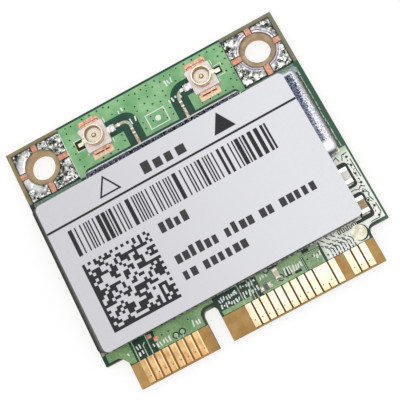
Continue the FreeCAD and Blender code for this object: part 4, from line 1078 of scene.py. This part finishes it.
feed_finish, paint, place = new_finish("feed_copper", {"Roughness": 0.35})
in_open_leg = place.axes()[1] < OPEN_LEG_Y
fine = place.grain(5.0)
covered = fine.tones((150, 168, 140), (206, 204, 178))
open_leg = fine.tones((150, 118, 88), (226, 206, 180), 0.35, 0.65)
paint(in_open_leg.blend(covered, open_leg), Metallic=in_open_leg * 0.6)
dress(feed_finish, "feed_lines")

shape = bmesh.new()
for spot_x in (-3.47, 3.65):
    add_disc(shape, (spot_x, COAX.y), **TEST_POINT)
add_piece("feed_test_points", shape, white_tin, "solder")


# Chip parts: small ceramic blocks with tinned end caps, soldered to their lands. Two sit beside the
# shield, two above the contacts and one in each feed line.
ceramic_finish, paint, place = new_finish("fired_ceramic", {"Roughness": 0.5, "IOR": 1.5})
fine = place.grain(5.0)
x, y = place.axes()[:2]
tan = fine.tones((150, 124, 92), (186, 160, 126))
pale = fine.tones((222, 218, 208), (240, 238, 232))
upper_side = (x > 12.0) * (y > -6.0)
above_contacts = (y < -9.3) * (x < 4.0)
grey = (x > 2.6).blend(srgb(92, 94, 92), srgb(206, 198, 172))
body = above_contacts.blend(upper_side.blend(tan, pale), grey)
paint(body, Normal=fine.relief(0.01, 0.2))
dress(ceramic_finish, "feed_capacitors", "side_capacitors", "edge_chip_parts")
dress(ceramic_finish, "shielded_capacitors", "antenna_filters")
dress(white_tin, "feed_capacitor_caps", "side_capacitor_caps", "shielded_capacitor_caps")
dress(track_finish, "edge_chip_caps")
dress(white_tin, "shielded_resistor_caps", "power_coil_plates")


# Pieces under the shield: the radio chip, two front-end modules, memory, coil and resistors are black
# mouldings, and the crystal is a ceramic tray with a plated lid. The can hides them all.
black_finish, paint, place = new_finish("black_moulding", {"Roughness": 0.5, "IOR": 1.5})
fine = place.grain(12.0)
paint(fine.blend(srgb(14, 14, 16), srgb(34, 34, 37)), Normal=fine.relief(0.01, 0.3))
dress(black_finish, "radio_chip", "left_front_end", "right_front_end")
dress(black_finish, "setup_memory", "power_coil", "shielded_resistors")

tray_finish, paint, place = new_finish("grey_tray", {"Roughness": 0.5, "IOR": 1.5})
paint(place.grain(6.0).blend(srgb(84, 80, 76), srgb(122, 116, 108)))
dress(tray_finish, "crystal_base")
dress(ring_finish, "crystal_lid")


# Studio: a white floor, an even white surround and one soft box above the card's right side, whose
# gloss falls on the contacts there. The camera looks down on the card from a hand's breadth away.
scene = bpy.context.scene
scene.view_settings.view_transform = "Standard"

FLOOR_SIDE = 4.0
floor_mesh = bpy.data.meshes.new("floor")
shape = bmesh.new()
bmesh.ops.create_grid(shape, x_segments=1, y_segments=1, size=FLOOR_SIDE / 2)
shape.to_mesh(floor_mesh)
shape.free()
floor = bpy.data.objects.new("floor", floor_mesh)
scene.collection.objects.link(floor)
floor_levels = {
    "Base Color": (0.34, 0.34, 0.34, 1.0),
    "Emission Color": (0.7, 0.7, 0.7, 1.0),
    "Emission Strength": 1.0,
    "Roughness": 0.9,
    "Specular IOR Level": 0.0,
}
floor_finish, _, place = new_finish("white_floor", floor_levels)
seen = place.node("LightPath", {}, {}, "Is Camera Ray")
below = place.node("NewGeometry", {}, {}, "Backfacing")
clear = place.node("BsdfTransparent", {}, {})
floor_nodes = floor_finish.node_tree.nodes
white = Value(floor_nodes["Principled BSDF"].outputs[0])
seen_from_above = place.node("MixShader", {}, {0: seen * (1 - below), 1: clear, 2: white})
wire(floor_nodes["Material Output"], Surface=seen_from_above)
floor_mesh.materials.append(floor_finish)

SURROUND_LEVEL = 0.8
world = bpy.data.worlds.new("surround")
world.use_nodes = True
scene.world = world
surround = world.node_tree.nodes["Background"]
background = Value(surround.outputs[0])
seen = background.node("LightPath", {}, {}, "Is Camera Ray")
mirrored = background.node("LightPath", {}, {}, "Is Glossy Ray")
through = background.node("LightPath", {}, {}, "Is Transmission Ray")
height = background.node("TexCoord", {}, {}, "Generated").axes()[2]
sky = height.step(0.05, 0.6) * 0.5 + 0.5
direct = seen.math("MAXIMUM", through)
level = direct + (1 - direct) * (mirrored * sky + (1 - mirrored) * SURROUND_LEVEL)
surround.inputs["Color"].default_value = (1.0, 1.0, 1.0, 1.0)
wire(surround, Strength=level)

SOFT_BOX_SIDE = 0.09
SOFT_BOX_WATTS = 0.041
soft_box = bpy.data.lights.new("soft_box", "AREA")
soft_box.shape = "SQUARE"
soft_box.size = SOFT_BOX_SIDE
soft_box.energy = SOFT_BOX_WATTS
lamp = bpy.data.objects.new("soft_box", soft_box)
lamp.location = (0.025, 0.004, 0.150)
scene.collection.objects.link(lamp)

PHOTO_HEIGHT_PX = 402
FOCAL_PX = 845.0
SENSOR_MM = 36.0
camera_lens = bpy.data.cameras.new("camera")
camera_lens.sensor_width = SENSOR_MM
camera_lens.lens = FOCAL_PX * SENSOR_MM / PHOTO_HEIGHT_PX
camera_lens.clip_start = 0.002
camera = bpy.data.objects.new("camera", camera_lens)
camera.location = (0.003624, -0.017375, 0.080320)
camera.rotation_euler = [math.radians(turn) for turn in (9.715, 7.901, -27.427)]
scene.collection.objects.link(camera)
scene.camera = camera
